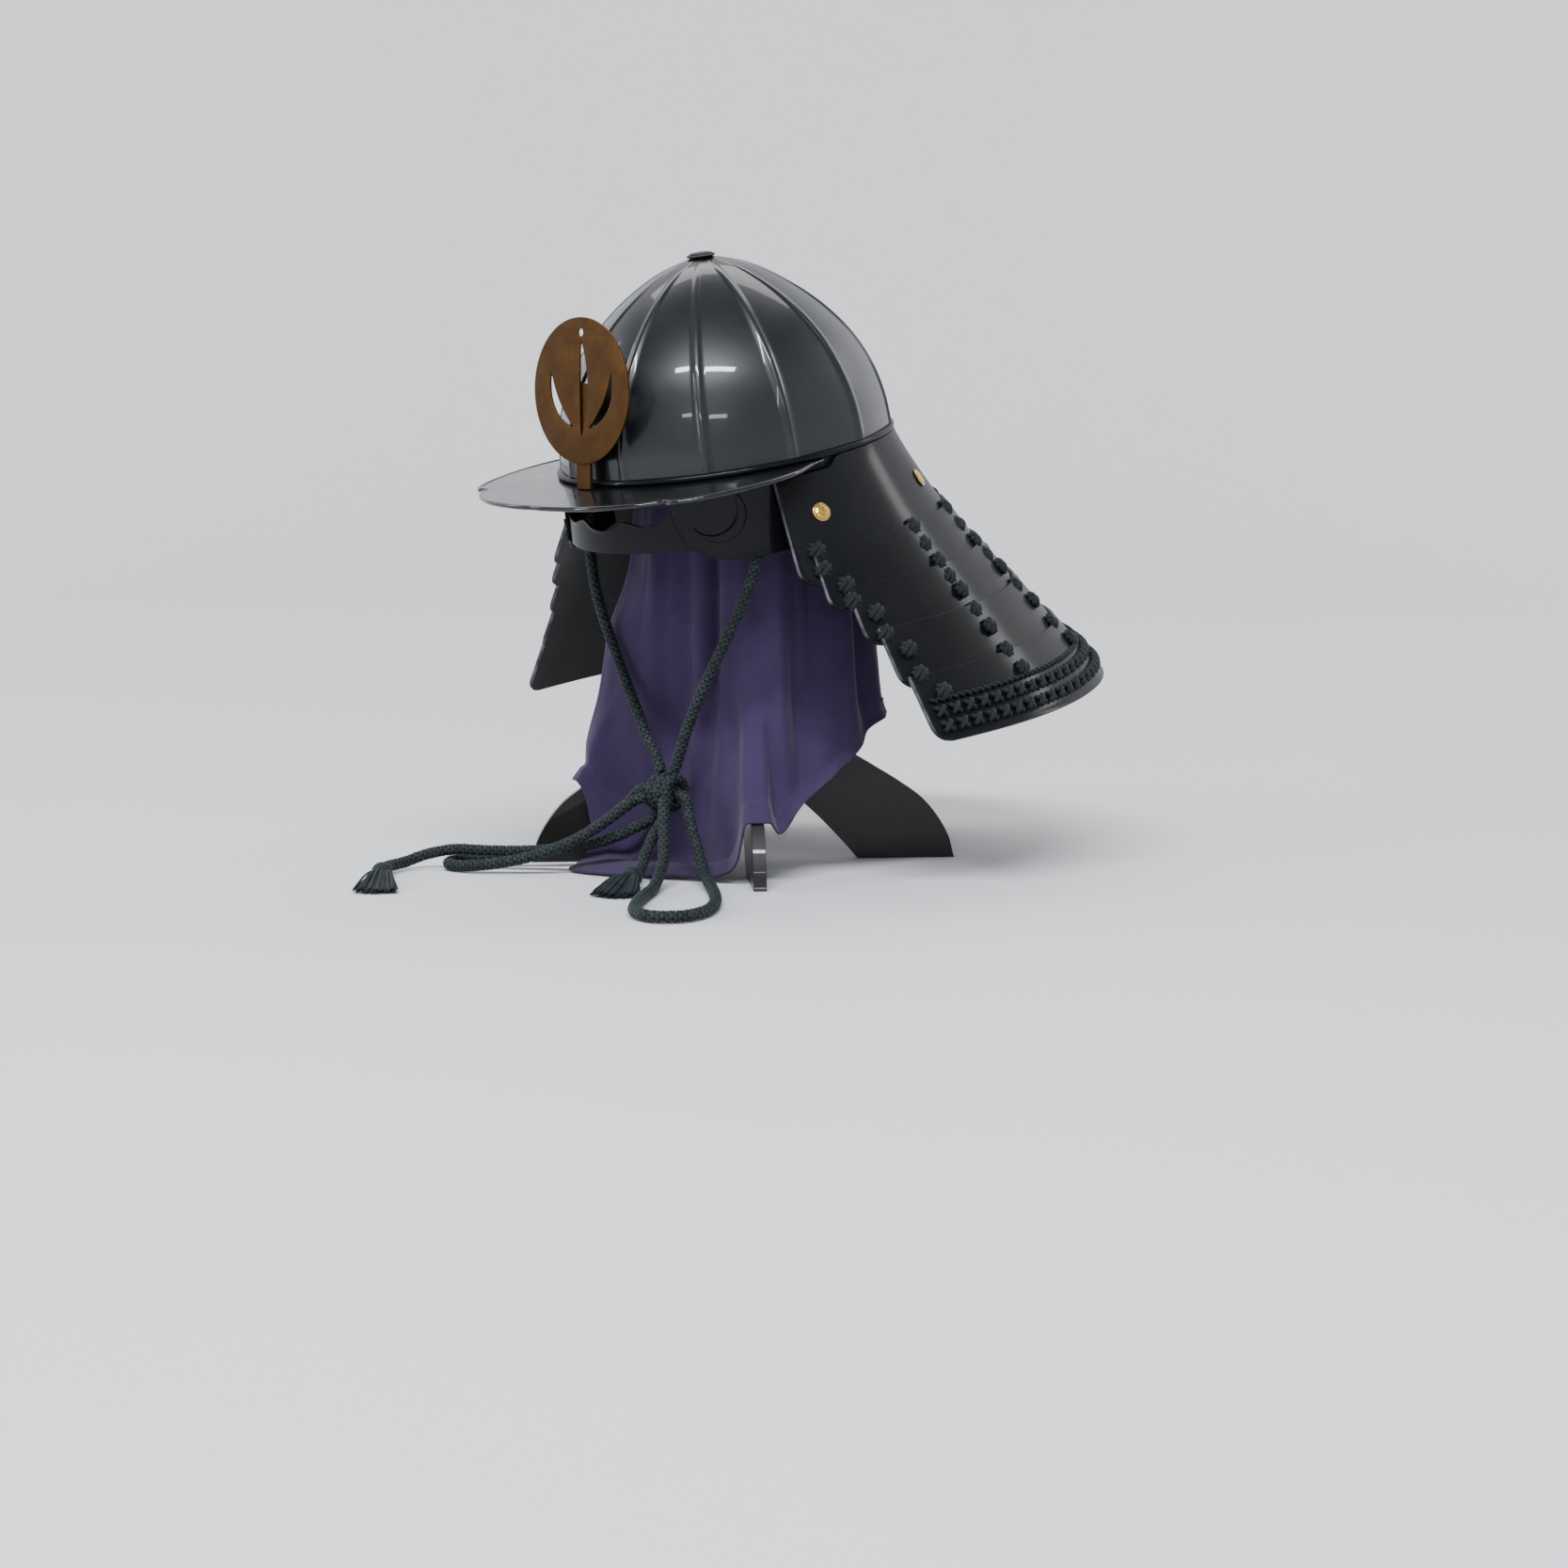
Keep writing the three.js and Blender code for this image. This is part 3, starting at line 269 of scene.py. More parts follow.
def even(path, spacing):
    """The same path with points an even distance apart."""
    path = np.asarray(path, float)
    lengths = np.concatenate([[0], np.cumsum(np.linalg.norm(np.diff(path, axis=0), axis=1))])
    count = max(int(round(lengths[-1] / spacing)), 3)
    at = np.linspace(0, lengths[-1], count + 1)
    return np.stack([np.interp(at, lengths, path[:, axis]) for axis in range(3)], -1)


def spline(points, per_span=24):
    """Centripetal Catmull-Rom curve through points, the cords' own curve."""
    points = [np.array(p, float) for p in points]
    points = [2 * points[0] - points[1], *points, 2 * points[-1] - points[-2]]
    made = []
    for p0, p1, p2, p3 in zip(points, points[1:], points[2:], points[3:]):
        d0, d1, d2 = (max(np.linalg.norm(b - a), 1e-6) ** 0.5 for a, b in ((p0, p1), (p1, p2), (p2, p3)))
        t1 = ((p1 - p0) / d0 - (p2 - p0) / (d0 + d1) + (p2 - p1) / d1) * d1
        t2 = ((p2 - p1) / d1 - (p3 - p1) / (d1 + d2) + (p3 - p2) / d2) * d1
        for t in np.linspace(0, 1, per_span, endpoint=False):
            made.append(p1 + t * t1 + t * t * (3 * (p2 - p1) - 2 * t1 - t2)
                        + t**3 * (-2 * (p2 - p1) + t1 + t2))
    made.append(points[-2])
    return np.array(made)


def tube(path, radius, sides=10, spacing=1.0):
    """Plain tube with rounded ends; radius is one number or one for each end and the middle."""
    path = even(path, spacing)
    normals, binormals = frames_along(path)
    share = np.linspace(0, 1, len(path))
    radii = np.interp(share, np.linspace(0, 1, len(np.atleast_1d(radius))), np.atleast_1d(radius))
    reach = np.linalg.norm(np.diff(path, axis=0), axis=1).sum()
    from_end = np.minimum(share, 1 - share) * reach
    radii = radii * np.sqrt(1 - (1 - np.clip(from_end / radii.mean(), 0.06, 1)) ** 2)
    angles = turns_of(sides)
    rings = path[:, None] + radii[:, None, None] * (
        np.cos(angles)[None, :, None] * normals[:, None] + np.sin(angles)[None, :, None] * binormals[:, None])
    return stack(rings)


def braided(path, radius=CORD_RADIUS, carriers=5, spacing=0.7, sides=36, relief=0.3):
    """Round braid: two families of strands that cross over and under."""
    path = even(path, spacing)
    normals, binormals = frames_along(path)
    along = np.arange(len(path)) * np.linalg.norm(path[1] - path[0])
    angles = turns_of(sides)
    pick = 2 * math.pi * radius / carriers
    u = carriers * angles[None, :] / (2 * math.pi) + along[:, None] / pick
    v = carriers * angles[None, :] / (2 * math.pi) - along[:, None] / pick
    over = 0.5 + 0.5 * np.sin(math.pi * (u + v)) * np.sign(np.cos(math.pi * (u - v)) + 1e-9)
    strand_u = np.abs(np.sin(math.pi * u)) ** 0.9 * (0.3 + 0.7 * over)
    strand_v = np.abs(np.sin(math.pi * v)) ** 0.9 * (1 - 0.7 * over)
    height = np.maximum(strand_u, strand_v)
    radii = radius * (1 - relief + relief * height)
    rings = path[:, None] + radii[..., None] * (
        np.cos(angles)[None, :, None] * normals[:, None] + np.sin(angles)[None, :, None] * binormals[:, None])
    points, faces = stack(rings)
    # The strand heights go back with the mesh; the cord silk paints shade from them into the valleys.
    return points, faces, np.concatenate([height.ravel(), [0, 0]])


# Materials


def material(name, colour, roughness, metallic=0.0, coat=0.0, coat_roughness=0.05, sheen=0.0, specular=0.5):
    made = bpy.data.materials.new(name)
    made.use_nodes = True
    shader = made.node_tree.nodes["Principled BSDF"]
    shader.inputs["Base Color"].default_value = (*colour, 1)
    for socket, value in (("Roughness", roughness), ("Metallic", metallic), ("Coat Weight", coat),
                          ("Coat Roughness", coat_roughness), ("Sheen Weight", sheen),
                          ("Sheen Roughness", 0.4), ("Specular IOR Level", specular)):
        shader.inputs[socket].default_value = value
    return made, made.node_tree, shader


def node(tree, kind, **values):
    made = tree.nodes.new(kind)
    for key, value in values.items():
        if key in made.inputs:
            made.inputs[key].default_value = value
        else:
            setattr(made, key, value)
    return made


def noise(tree, scale, detail=4.0, roughness=0.55):
    place = node(tree, "ShaderNodeTexCoord")
    made = node(tree, "ShaderNodeTexNoise", Scale=scale, Detail=detail, Roughness=roughness)
    tree.links.new(place.outputs["Object"], made.inputs["Vector"])
    return made.outputs["Fac"]


def ramp(tree, source, stops):
    made = tree.nodes.new("ShaderNodeValToRGB")
    elements = made.color_ramp.elements
    while len(elements) < len(stops):
        elements.new(0.5)
    for element, (position, colour) in zip(elements, stops):
        element.position = position
        element.color = (*colour, 1)
    tree.links.new(source, made.inputs["Fac"])
    return made.outputs["Color"]


def span(tree, source, low, high, from_low=0.0, from_high=1.0):
    made = node(tree, "ShaderNodeMapRange",
                **{"From Min": from_low, "From Max": from_high, "To Min": low, "To Max": high})
    tree.links.new(source, made.inputs["Value"])
    return made.outputs["Result"]


def bump(tree, shader, heights, target="Normal"):
    """Bumps of (height output, distance in metres, strength), one on another."""
    before = None
    for height, distance, strength in heights:
        made = node(tree, "ShaderNodeBump", Distance=distance, Strength=strength)
        tree.links.new(height, made.inputs["Height"])
        if before:
            tree.links.new(before, made.inputs["Normal"])
        before = made.outputs["Normal"]
    tree.links.new(before, shader.inputs[target])


def mixed(tree, factor, a, b, blend="MIX"):
    made = node(tree, "ShaderNodeMix", data_type="RGBA", blend_type=blend)
    for socket, value in ((made.inputs[0], factor), (made.inputs[6], a), (made.inputs[7], b)):
        if hasattr(value, "links"):
            tree.links.new(value, socket)
        elif isinstance(value, tuple):
            socket.default_value = (*value, 1)
        else:
            socket.default_value = value
    return made.outputs[2]


def lacquer(name, colour, roughness, coat, coat_roughness=0.045, specular=0.2, painted_edge_highlight=False):
    made, tree, shader = material(name, colour, roughness, coat=coat, coat_roughness=coat_roughness,
                                  specular=specular)
    patches = noise(tree, 9, 5)
    dust = noise(tree, 380, 3, 0.7)
    light = tuple(channel * 1.8 + 0.001 for channel in colour)
    base = ramp(tree, patches, [(0.35, colour), (0.7, light)])
    speck = ramp(tree, dust, [(0.66, (0, 0, 0)), (0.74, (1, 1, 1))])
    surface = mixed(tree, span(tree, speck, 0, 0.10), base, (0.14, 0.14, 0.13))
    # Painted highlight: where the crest attribute is high, along the lames' front edges, the colour is lifted
    # to light grey, broken up by noise.
    if painted_edge_highlight:
        edge = node(tree, "ShaderNodeAttribute", attribute_name="crest")
        edge_highlight = ramp(tree, edge.outputs["Fac"], [(0.35, (0, 0, 0)), (0.9, (1, 1, 1))])
        breaks = ramp(tree, noise(tree, 70, 3), [(0.36, (0.25, 0.25, 0.25)), (0.62, (1, 1, 1))])
        shown = span(tree, mixed(tree, 1.0, edge_highlight, breaks, "MULTIPLY"), 0, 0.85)
        surface = mixed(tree, shown, surface, (0.13, 0.13, 0.14))
    tree.links.new(surface, shader.inputs["Base Color"])
    uneven = span(tree, patches, roughness - 0.06, roughness + 0.08, 0.3, 0.7)
    tree.links.new(uneven, shader.inputs["Roughness"])
    waves = noise(tree, 26, 2, 0.4)
    peel = noise(tree, 420, 2, 0.5)
    bump(tree, shader, [(waves, 0.0012, 0.10), (peel, 0.00006, 0.35)])
    bump(tree, shader, [(waves, 0.0012, 0.06)], "Coat Normal")
    return made


def metal(name, colour, dark, roughness):
    made, tree, shader = material(name, colour, roughness, metallic=1.0)
    patches = noise(tree, 60, 6, 0.65)
    fine = noise(tree, 900, 3, 0.6)
    tree.links.new(ramp(tree, patches, [(0.3, dark), (0.68, colour)]), shader.inputs["Base Color"])
    tree.links.new(span(tree, fine, roughness - 0.1, roughness + 0.12, 0.3, 0.7), shader.inputs["Roughness"])
    bump(tree, shader, [(patches, 0.0003, 0.25), (fine, 0.00005, 0.4)])
    return made


def silk(name, colour, light, braid=False):
    made, tree, shader = material(name, colour, 0.7, sheen=0.06, specular=0.25)
    patches = noise(tree, 110, 4)
    fibres = noise(tree, 2600, 2, 0.5)
    tone_and_painted_light = ramp(tree, patches, [(0.32, colour), (0.72, light)])
    # Painted shade: on a braid the colour is darkened almost to black in the valleys between strands, from
    # the crest attribute (strand height); only the strand tops keep the silk's colour.
    if braid:
        height = node(tree, "ShaderNodeAttribute", attribute_name="crest")
        painted_valley_shade = ramp(tree, height.outputs["Fac"], [(0.5, (0.04, 0.04, 0.04)), (0.97, (1, 1, 1))])
        tone_and_painted_light = mixed(tree, 1.0, tone_and_painted_light, painted_valley_shade, "MULTIPLY")
    tree.links.new(tone_and_painted_light, shader.inputs["Base Color"])
    bump(tree, shader, [(fibres, 0.00018, 0.5)])
    return made


def woven(name, colour, light):
    made, tree, shader = material(name, colour, 0.9, sheen=0.12, specular=0.15)
    place = node(tree, "ShaderNodeTexCoord")
    threads = []
    for direction in ("X", "Z"):
        wave = node(tree, "ShaderNodeTexWave", wave_type="BANDS", bands_direction=direction, Scale=520.0,
                    Distortion=0.6, Detail=1.0)
        tree.links.new(place.outputs["Object"], wave.inputs["Vector"])
        threads.append(wave.outputs["Fac"])
    patches = noise(tree, 14, 5, 0.6)
    fuzz = noise(tree, 1500, 3, 0.6)
    tree.links.new(ramp(tree, patches, [(0.3, colour), (0.72, light)]), shader.inputs["Base Color"])
    bump(tree, shader, [(fuzz, 0.0003, 0.35), (threads[0], 0.0001, 0.3), (threads[1], 0.0001, 0.3)])
    return made


BOWL = lacquer("bowl_lacquer", (0.0040, 0.0046, 0.0060), 0.31, 0.42, 0.045, 0.30)
BLACK = lacquer("black_lacquer", (0.0026, 0.0030, 0.0038), 0.36, 0.2, 0.045, 0.05)
PEAK = lacquer("peak_lacquer", (0.0030, 0.0034, 0.0042), 0.30, 0.7, 0.03, 0.12)
# The satin lacquer of the lames, with a painted highlight along their front edges.
SATIN = lacquer("satin_lacquer", (0.0026, 0.0030, 0.0035), 0.5, 0.22, 0.17, 0.06, painted_edge_highlight=True)
BOARD = lacquer("board_lacquer", (0.0045, 0.0038, 0.0036), 0.42, 0.25)
BRONZE = metal("bronze", (0.085, 0.042, 0.014), (0.055, 0.026, 0.009), 0.5)
GILT = metal("gilt", (0.72, 0.48, 0.12), (0.46, 0.27, 0.06), 0.3)
CORD = silk("cord_silk", (0.013, 0.024, 0.027), (0.028, 0.046, 0.049), braid=True)
STRANDS = silk("tassel_silk", (0.005, 0.009, 0.011), (0.012, 0.021, 0.024))
LACE = silk("lace_silk", (0.0015, 0.0024, 0.0040), (0.004, 0.006, 0.009))
CLOTH = woven("purple_cloth", (0.027, 0.017, 0.047), (0.040, 0.026, 0.067))

# Chin cord: the routes are those of the solids

KNOT = np.array([20.0, -73.0, 58.0])
KNOT_RADIUS = 14.5
KNOT_REACH = 7.0
GAP = 0.3
CORD_ROUTES = {
    "chin_cord_left": {
        "points": [[87.9, -50.4, 272], [88, -50.4, 250], [88.4, -50.2, 226], [81, -52, 200], [66, -57, 168],
                   [50, -62.5, 136], [36, -67.5, 104]],
        "arrive": [5.6, 1.7, 14.5], "lay": "hanging",
    },
    "chin_cord_right": {
        "points": [[-87.9, -50.4, 272], [-88, -51.5, 245], [-83, -54, 215], [-69, -59, 185], [-46, -64, 152],
                   [-22, -69, 121], [-2, -72, 95]],
        "arrive": [-6.3, 0, 14.3], "lay": "hanging",
    },
    "bow_loop_left": {
        "leave": [-13.5, -2.5, 0],
        "points": [[-15, -80.5, 46], [-30, -88, 33], [-50, -102, 18], [-75, -121, 7.5], [-95, -135.5, 4.8],
                   [-106.5, -147, 4.6], [-107, -162, 4.6], [-96, -172, 4.6], [-80, -169, 5], [-60, -155, 8],
                   [-36, -134, 16], [-14, -112, 31]],
        "arrive": [-10, -11, -4], "lay": "loose",
    },
    "bow_loop_right": {
        "leave": [13.6, -1.5, -1],
        "points": [[50, -78.5, 43], [64, -84, 25], [82, -93, 10], [106, -108, 4.8], [132, -128, 4.6],
                   [158, -152, 4.6], [176, -177, 4.6], [180, -198, 4.6], [167, -213, 4.6], [146, -209, 4.6],
                   [122, -188, 4.6], [98, -160, 4.6], [78, -134, 6], [58, -109, 19]],
        "arrive": [11, -11.5, -5], "lay": "loose",
    },
    "cord_tail_left": {
        "leave": [-6, -4, -13],
        "points": [[3, -86, 33], [-12, -98, 24], [-30, -112, 18], [-56, -132, 14.5], [-82, -150, 13.6],
                   [-102.5, -163.5, 13.6], [-116, -177, 10], [-119, -193, 6], [-112, -211, 6],
                   [-97, -227, 7.6], [-86, -237, 7.9]],
        "lay": "loose",
    },
    "cord_tail_right": {
        "leave": [5, -7, -13],
        "points": [[28, -92, 30], [34, -105, 17], [39, -113, 10.5], [43, -119, 8.2], [46.5, -124.5, 7.9]],
        "lay": "loose",
    },
}


def knot_end(direction):
    away = np.array(direction, float)
    away /= np.linalg.norm(away)
    near = KNOT + away * (KNOT_RADIUS + GAP)
    return near, near + away * KNOT_REACH


def route_of(route):
    points = [np.array(p, float) for p in route["points"]]
    if "leave" in route:
        near, far = knot_end(route["leave"])
        points = [near, far, *points]
    if "arrive" in route:
        near, far = knot_end(route["arrive"])
        points = [*points, far, near]
    return spline(points)


def make_knot():
    """Three turns of the cord over a core."""
    parts = []
    turns = np.linspace(-1.5, 1.5, 120)
    helix = np.stack([turns * 7.2, 10.1 * np.cos(turns * 2 * math.pi + 0.6),
                      10.1 * np.sin(turns * 2 * math.pi + 0.6)], -1)
    helix[:, 1:] *= (1 - 0.10 * (np.abs(turns) / 1.5)[:, None] ** 2)
    points, faces, crest = braided(helix + KNOT, radius=4.1)
    parts.append((points, faces))
    core = [[-11.5, 0, 0], [-8, 0.5, 0.5], [0, 0, 0], [8, -0.5, 0.5], [11.5, 0, 0]]
    parts.append(tube(spline(np.array(core) + KNOT), [5.5, 8.2, 8.6, 8.2, 5.5], 20))
    points, faces = join_parts(parts)
    # The core gets crest 0, so the cord silk paints it dark all over, as painted shade under the wraps.
    crest = np.pad(crest, (0, len(points) - len(crest)))
    return piece("knot_wraps", points, faces, CORD, ["knot"], sharp=80, crest=crest)


def make_tassel(name, route):
    path = route_of(CORD_ROUTES[route])
    along = path[-1] - path[-3]
    along[2] = 0
    along /= np.linalg.norm(along)
    aside = np.cross([0, 0, 1.0], along)
    start = path[-1] + along * 0.6
    up = np.array([0, 0, 1.0])

    def place(distance, across, height):
        made = start + along * distance + aside * across
        made[2] = height
        return made

    profile = [(3.4, -0.4), (4.6, 0.6), (6.2, 2.6), (7.1, 5.4), (7.2, 8.2), (6.4, 10.6), (5.6, 11.6),
               (5.4, 12.2), (6.3, 12.8), (6.7, 13.6), (6.3, 14.4), (5.4, 15.0)]
    heights = np.linspace(-0.4, 15.0, 46)
    angles = turns_of(48)
    rings = []
    fine = curve_through([d for _, d in profile], [r for r, _ in profile], heights)
    for distance, radius in zip(heights, fine):
        net = 1 + 0.045 * np.abs(np.sin(angles * 8 + distance * 0.9)) * (distance < 11)
        net = net + 0.045 * np.abs(np.sin(angles * 8 - distance * 0.9)) * (distance < 11)
        out = radius * net * 0.94
        rings.append(start + along * distance + out[:, None] * (
            np.cos(angles)[:, None] * aside + np.sin(angles)[:, None] * up))
    parts = [stack(np.array(rings))]
    seeded = np.random.default_rng(7 if name == "tassel_left" else 11)
    for strand in range(150):
        across = seeded.uniform(-1, 1)
        layer = seeded.uniform(0, 1)
        length = 57 - abs(across) * 6 - seeded.uniform(0, 6)
        first = place(12.5, across * 4.6, start[2] + (layer - 0.45) * 8.4 * math.sqrt(1 - across**2 * 0.8))
        bend = seeded.normal(0, 0.7)
        second = place(length * 0.45, across * 9.0 + bend, 2.2 + layer * 8.5)
        third = place(length * 0.8, across * 13.2 + bend * 2, 1.3 + layer * 5.2)
        last = place(length, across * 14.8 + bend * 2.4, 1.0 + layer * 3.4)
        parts.append(tube(spline([first, second, third, last], 6), [0.62, 0.7, 0.62], 5, 3.2))
    points, faces = join_parts(parts)
    points[:, 2] = np.maximum(points[:, 2], 0.25)
    return piece(name + "_strands", points, faces, STRANDS, [name], sharp=80)


def make_cords():
    knot = make_knot()
    tassels = {route: make_tassel(name, route)
               for name, route in (("tassel_left", "cord_tail_left"), ("tassel_right", "cord_tail_right"))}
    for name, route in CORD_ROUTES.items():
        path = even(route_of(route), 0.75)
        points, faces, crest = braided(path)
        made = piece(name + "_braid", points, faces, CORD, [name], sharp=80, crest=crest)


make_cords()

# Helmet shapes, from the same named sizes as the solids


def rim_point(angle, outset, height):
    a = np.radians(angle)
    return np.stack(np.broadcast_arrays((BOWL_HALF_WIDTH + outset) * np.sin(a),
                                        -(BOWL_HALF_LENGTH + outset) * np.cos(a), height), -1)


PROFILE_HEIGHTS = [0, 0.16, 0.32, 0.48, 0.63, 0.765, 0.875, 0.95, 1.0]
PROFILE_RADII = [1.0, 0.982, 0.935, 0.85, 0.725, 0.568, 0.395, 0.232, 0.055]


def profile_points(count):
    """The bowl's profile as a smooth curve: (radius share, height share) at even steps."""
    knots = [(r * 115, 0, h * BOWL_HEIGHT) for r, h in zip(PROFILE_RADII, PROFILE_HEIGHTS)]
    path = spline(knots, 12)
    path = even(path, np.linalg.norm(np.diff(path, axis=0), axis=1).sum() / count)
    return path[:, 0] / 115, path[:, 2] / BOWL_HEIGHT


def make_bowl():
    radii, heights = profile_points(70)
    half = 15.0
    columns = []
    for plate in range(12):
        for share in np.linspace(-1, 1, 15)[:-1]:
            columns.append((plate * 30 + 0.0, share, "plate"))
        for share in np.linspace(-1, 1, 9)[:-1]:
            columns.append((plate * 30 + half, share, "seam"))
    grids = []
    for lining in (0, 1):
        rows = []
        for radius, height in zip(radii, heights):
            reach = BOWL_HALF_WIDTH * radius
            seam = min(math.degrees(2.3 / max(reach, 1)), half * 0.35)
            rise = 1.15 * min(1, reach / 30)
            row = []
            for middle, share, kind in columns:
                if kind == "plate":
                    angle, lift = middle + share * (half - seam), 0
                    from_middle = share * (half - seam)
                else:
                    angle = middle + share * seam
                    lift = rise * (1 - abs(share) ** 2.4) ** 0.55
                    from_middle = half - abs(share) * seam
                flat = math.cos(math.radians(half)) / math.cos(math.radians(from_middle))
                size = radius * (1 + 0.4 * (flat - 1))
                lift = lift if lining == 0 else -2.0
                a = math.radians(angle)
                row.append(((BOWL_HALF_WIDTH * size + lift) * math.sin(a),
                            -(BOWL_HALF_LENGTH * size + lift) * math.cos(a),
                            height * BOWL_HEIGHT - (2.0 * height if lining else 0)))
            rows.append(row)
        grids.append(np.array(rows))
    points, faces = wall(nod(grids[0]), nod(grids[1]), True)
    piece("bowl_plates", points, faces, BOWL, ["bowl"], sharp=50)


def make_boss():
    foot = BOWL_HEIGHT + GAP
    profile = [(2.5, foot - 4), (2.5, foot), (9.7, foot), (10, foot + 0.4), (9.9, foot + 1.0),
               (9.0, foot + 1.5), (8.2, foot + 1.55), (8.0, foot + 1.9), (7.4, foot + 2.3),
               (6.0, foot + 2.65), (3.0, foot + 2.9), (0.5, foot + 3.0)]
    points, faces = turned(profile)
    piece("crown_boss_dome", nod(points), faces, BLACK, ["crown_boss"], sharp=35)


def make_rim_band():
    bead = [(0.4 + 1.8 * math.cos(t), -GAP - 2.0 + 2.0 * math.sin(t)) for t in np.linspace(1.5, -1.5, 10)]
    profile = [*bead, (-1, -4.3), (-1, -20), (-3, -20), (-3, -0.3)]
    points, faces = swept_ring(profile, 180, rim_point)
    piece("rim_band_bead", nod(points), faces, BLACK, ["rim_band"], sharp=40)


VISOR_ANGLES = [0, 6, 13, 20, 27, 32, 34.5, 36, 37.5, 40, 44, 50, 57, 64, 70, 76, 81, 85]
VISOR_REACH = [0.95, 0.97, 0.985, 1.0, 0.99, 0.965, 0.94, 0.89, 0.96, 0.985, 0.94, 0.84, 0.72, 0.57, 0.42,
               0.23, 0.10, 0.055]


def make_visor():
    notch, side_part = np.linspace(34.5, 37.5, 9), np.linspace(38, 85, 48)
    angles = np.concatenate([-side_part[::-1], -notch[::-1], np.linspace(-34, 34, 69), notch, side_part])
    reach = VISOR_DEPTH * curve_through(VISOR_ANGLES, VISOR_REACH, np.abs(angles))
    bead_room = np.clip(reach / 7 - 1, 0, 1)
    bead_angles = np.linspace(math.pi * 0.75, -math.pi * 0.75, 13)
    grid = []
    bead_centre = np.maximum(reach - 1.75, 0)
    flat_end = np.maximum(reach - 1.75 - 1.3, reach * 0.5)
    drop = 1.6 / VISOR_DEPTH
    for t in np.linspace(0, 1, 14):
        out = -0.5 + t * (flat_end + 0.5)
        grid.append(rim_point(angles, out, -SHELF - drop * np.maximum(out, 0)))
    for b in bead_angles:
        out = np.maximum(bead_centre, reach * 0.5) + 1.75 * np.cos(b) * np.clip(reach / 5, 0.15, 1)
        height = -SHELF - drop * reach - 1.0 + (1.0 + 0.7 * bead_room) * math.sin(b)
        grid.append(rim_point(angles, np.minimum(out, reach), height))
    for t in np.linspace(1, 0, 14):
        out = -0.5 + t * (flat_end + 0.5)
        grid.append(rim_point(angles, out, -SHELF - 2 - drop * np.maximum(out, 0)))
    grid = np.array(grid)
    rows, columns = grid.shape[:2]
    faces = []
    for row in range(rows):
        for c in range(columns - 1):
            here, after = row * columns + c, (row + 1) % rows * columns + c
            faces.append((here, here + 1, after + 1, after))
    for c, order in ((0, 1), (columns - 1, -1)):
        faces.append(tuple([row * columns + c for row in range(rows)][::order]))
    piece("visor_peak", nod(grid.reshape(-1, 3)), faces, PEAK, ["visor"], sharp=45)


LAMES = [(0.0, 0.41, 66), (0.29, 0.515, 71), (0.445, 0.65, 76), (0.60, 0.81, 79), (0.775, 1.0, 80.5)]
GUARD_DEPTH = 190.0
LAME_CORNER = 11.0
FALL = math.tan(math.radians(3.6))


def guard_point(angle, share, lift):
    angle, share, lift = (np.asarray(v, float) for v in (angle, share, lift))
    ahead = np.cos(np.radians(angle))
    flare = np.tan(np.radians(FLARE_SIDE + 2.7 * np.maximum(0, -ahead)))
    depth = (GUARD_DEPTH - FALL * ahead * BOWL_HALF_WIDTH) / (1 + FALL * ahead * flare)
    slope = flare * 1.165 * np.maximum(share, 1e-9) ** 0.165
    slant = np.hypot(1, slope)
    outset = 1.3 + depth * flare * share**1.165 + lift / slant
    return rim_point(angle, outset, -SHELF - depth * share + lift * slope / slant)


def make_lame(number):
    top, bottom, front = LAMES[number]
    lift = number * LAME_STEP
    corner = LAME_CORNER / GUARD_DEPTH
    radius_there = BOWL_HALF_WIDTH + GUARD_DEPTH * bottom * math.tan(math.radians(FLARE_SIDE))
    ends = np.concatenate([np.linspace(0, 2.4, 10), np.linspace(3, 8, 8)])
    middle = np.linspace(front + 9, 351 - front, 150)
    angles = np.concatenate([front + ends, middle, 360 - front - ends[::-1]])
    straight = np.linspace(top, bottom - corner, 14)[:-1]
    shares = np.concatenate([straight, np.linspace(bottom - corner, bottom, 9)])
    grid, tone_and_painted_light = [], []
    for side in (0, 1):
        rows = []
        for share in shares:
            into = np.clip((share - (bottom - corner)) / corner, 0, 1)
            back = LAME_CORNER * (1 - math.sqrt(max(1 - into**2, 0)))
            turn = math.degrees(back / radius_there)
            low, high = front + turn, 360 - front - turn
            placed = low + (angles - front) * (high - low) / (360 - 2 * front)
            sheltered = np.maximum(share, 0.036 * (1 - smooth(86, 92, placed) + smooth(268, 274, placed)))
            wave = 0.25 * np.sin(np.radians(placed * 5 + number * 40)) * np.sin(math.pi * into * 0.5 + 0.4)
            from_end = np.radians(np.minimum(placed - low, high - placed)) * radius_there
            near_edge = np.maximum(1 - smooth(2.0, 3.4, from_end),
                                   smooth(bottom - 3.5 / GUARD_DEPTH, bottom - 1.0 / GUARD_DEPTH, share))
            rise = 0.55 * near_edge * (1 - side)
            rows.append(guard_point(placed, sheltered, lift - 2.0 * side + wave * 0.3 + rise))
            # Painted highlight mask: 1 along the front edges, fading out towards the lower corner; the satin
            # lacquer paints these edges light grey.
            tone_and_painted_light.append((1 - smooth(0.6, 1.9, from_end)) * (1 - smooth(0.1, 0.8, into)))
        grid.append(np.array(rows))
    points, faces = wall(nod(grid[0]), nod(grid[1]))
    name = f"lame_{number + 1}"
    piece(name + "_plate", points, faces, SATIN, [name], sharp=50, bevel=0.8,
          crest=np.concatenate(tone_and_painted_light))


SIDE_ANGLES = [31, 32, 34, 36, 39, 43, 48, 54, 60, 66, 73, 80]
SIDE_UPPER = [0.30, 0.20, 0.15, 0.15, 0.15, 0.15, 0.15, 0.15, 0.15, 0.18, 0.18, 0.18]
SIDE_LOWER = [0.36, 0.56, 0.71, 0.82, 0.87, 0.94, 0.98, 1.0, 1.0, 0.99, 0.97, 0.92]


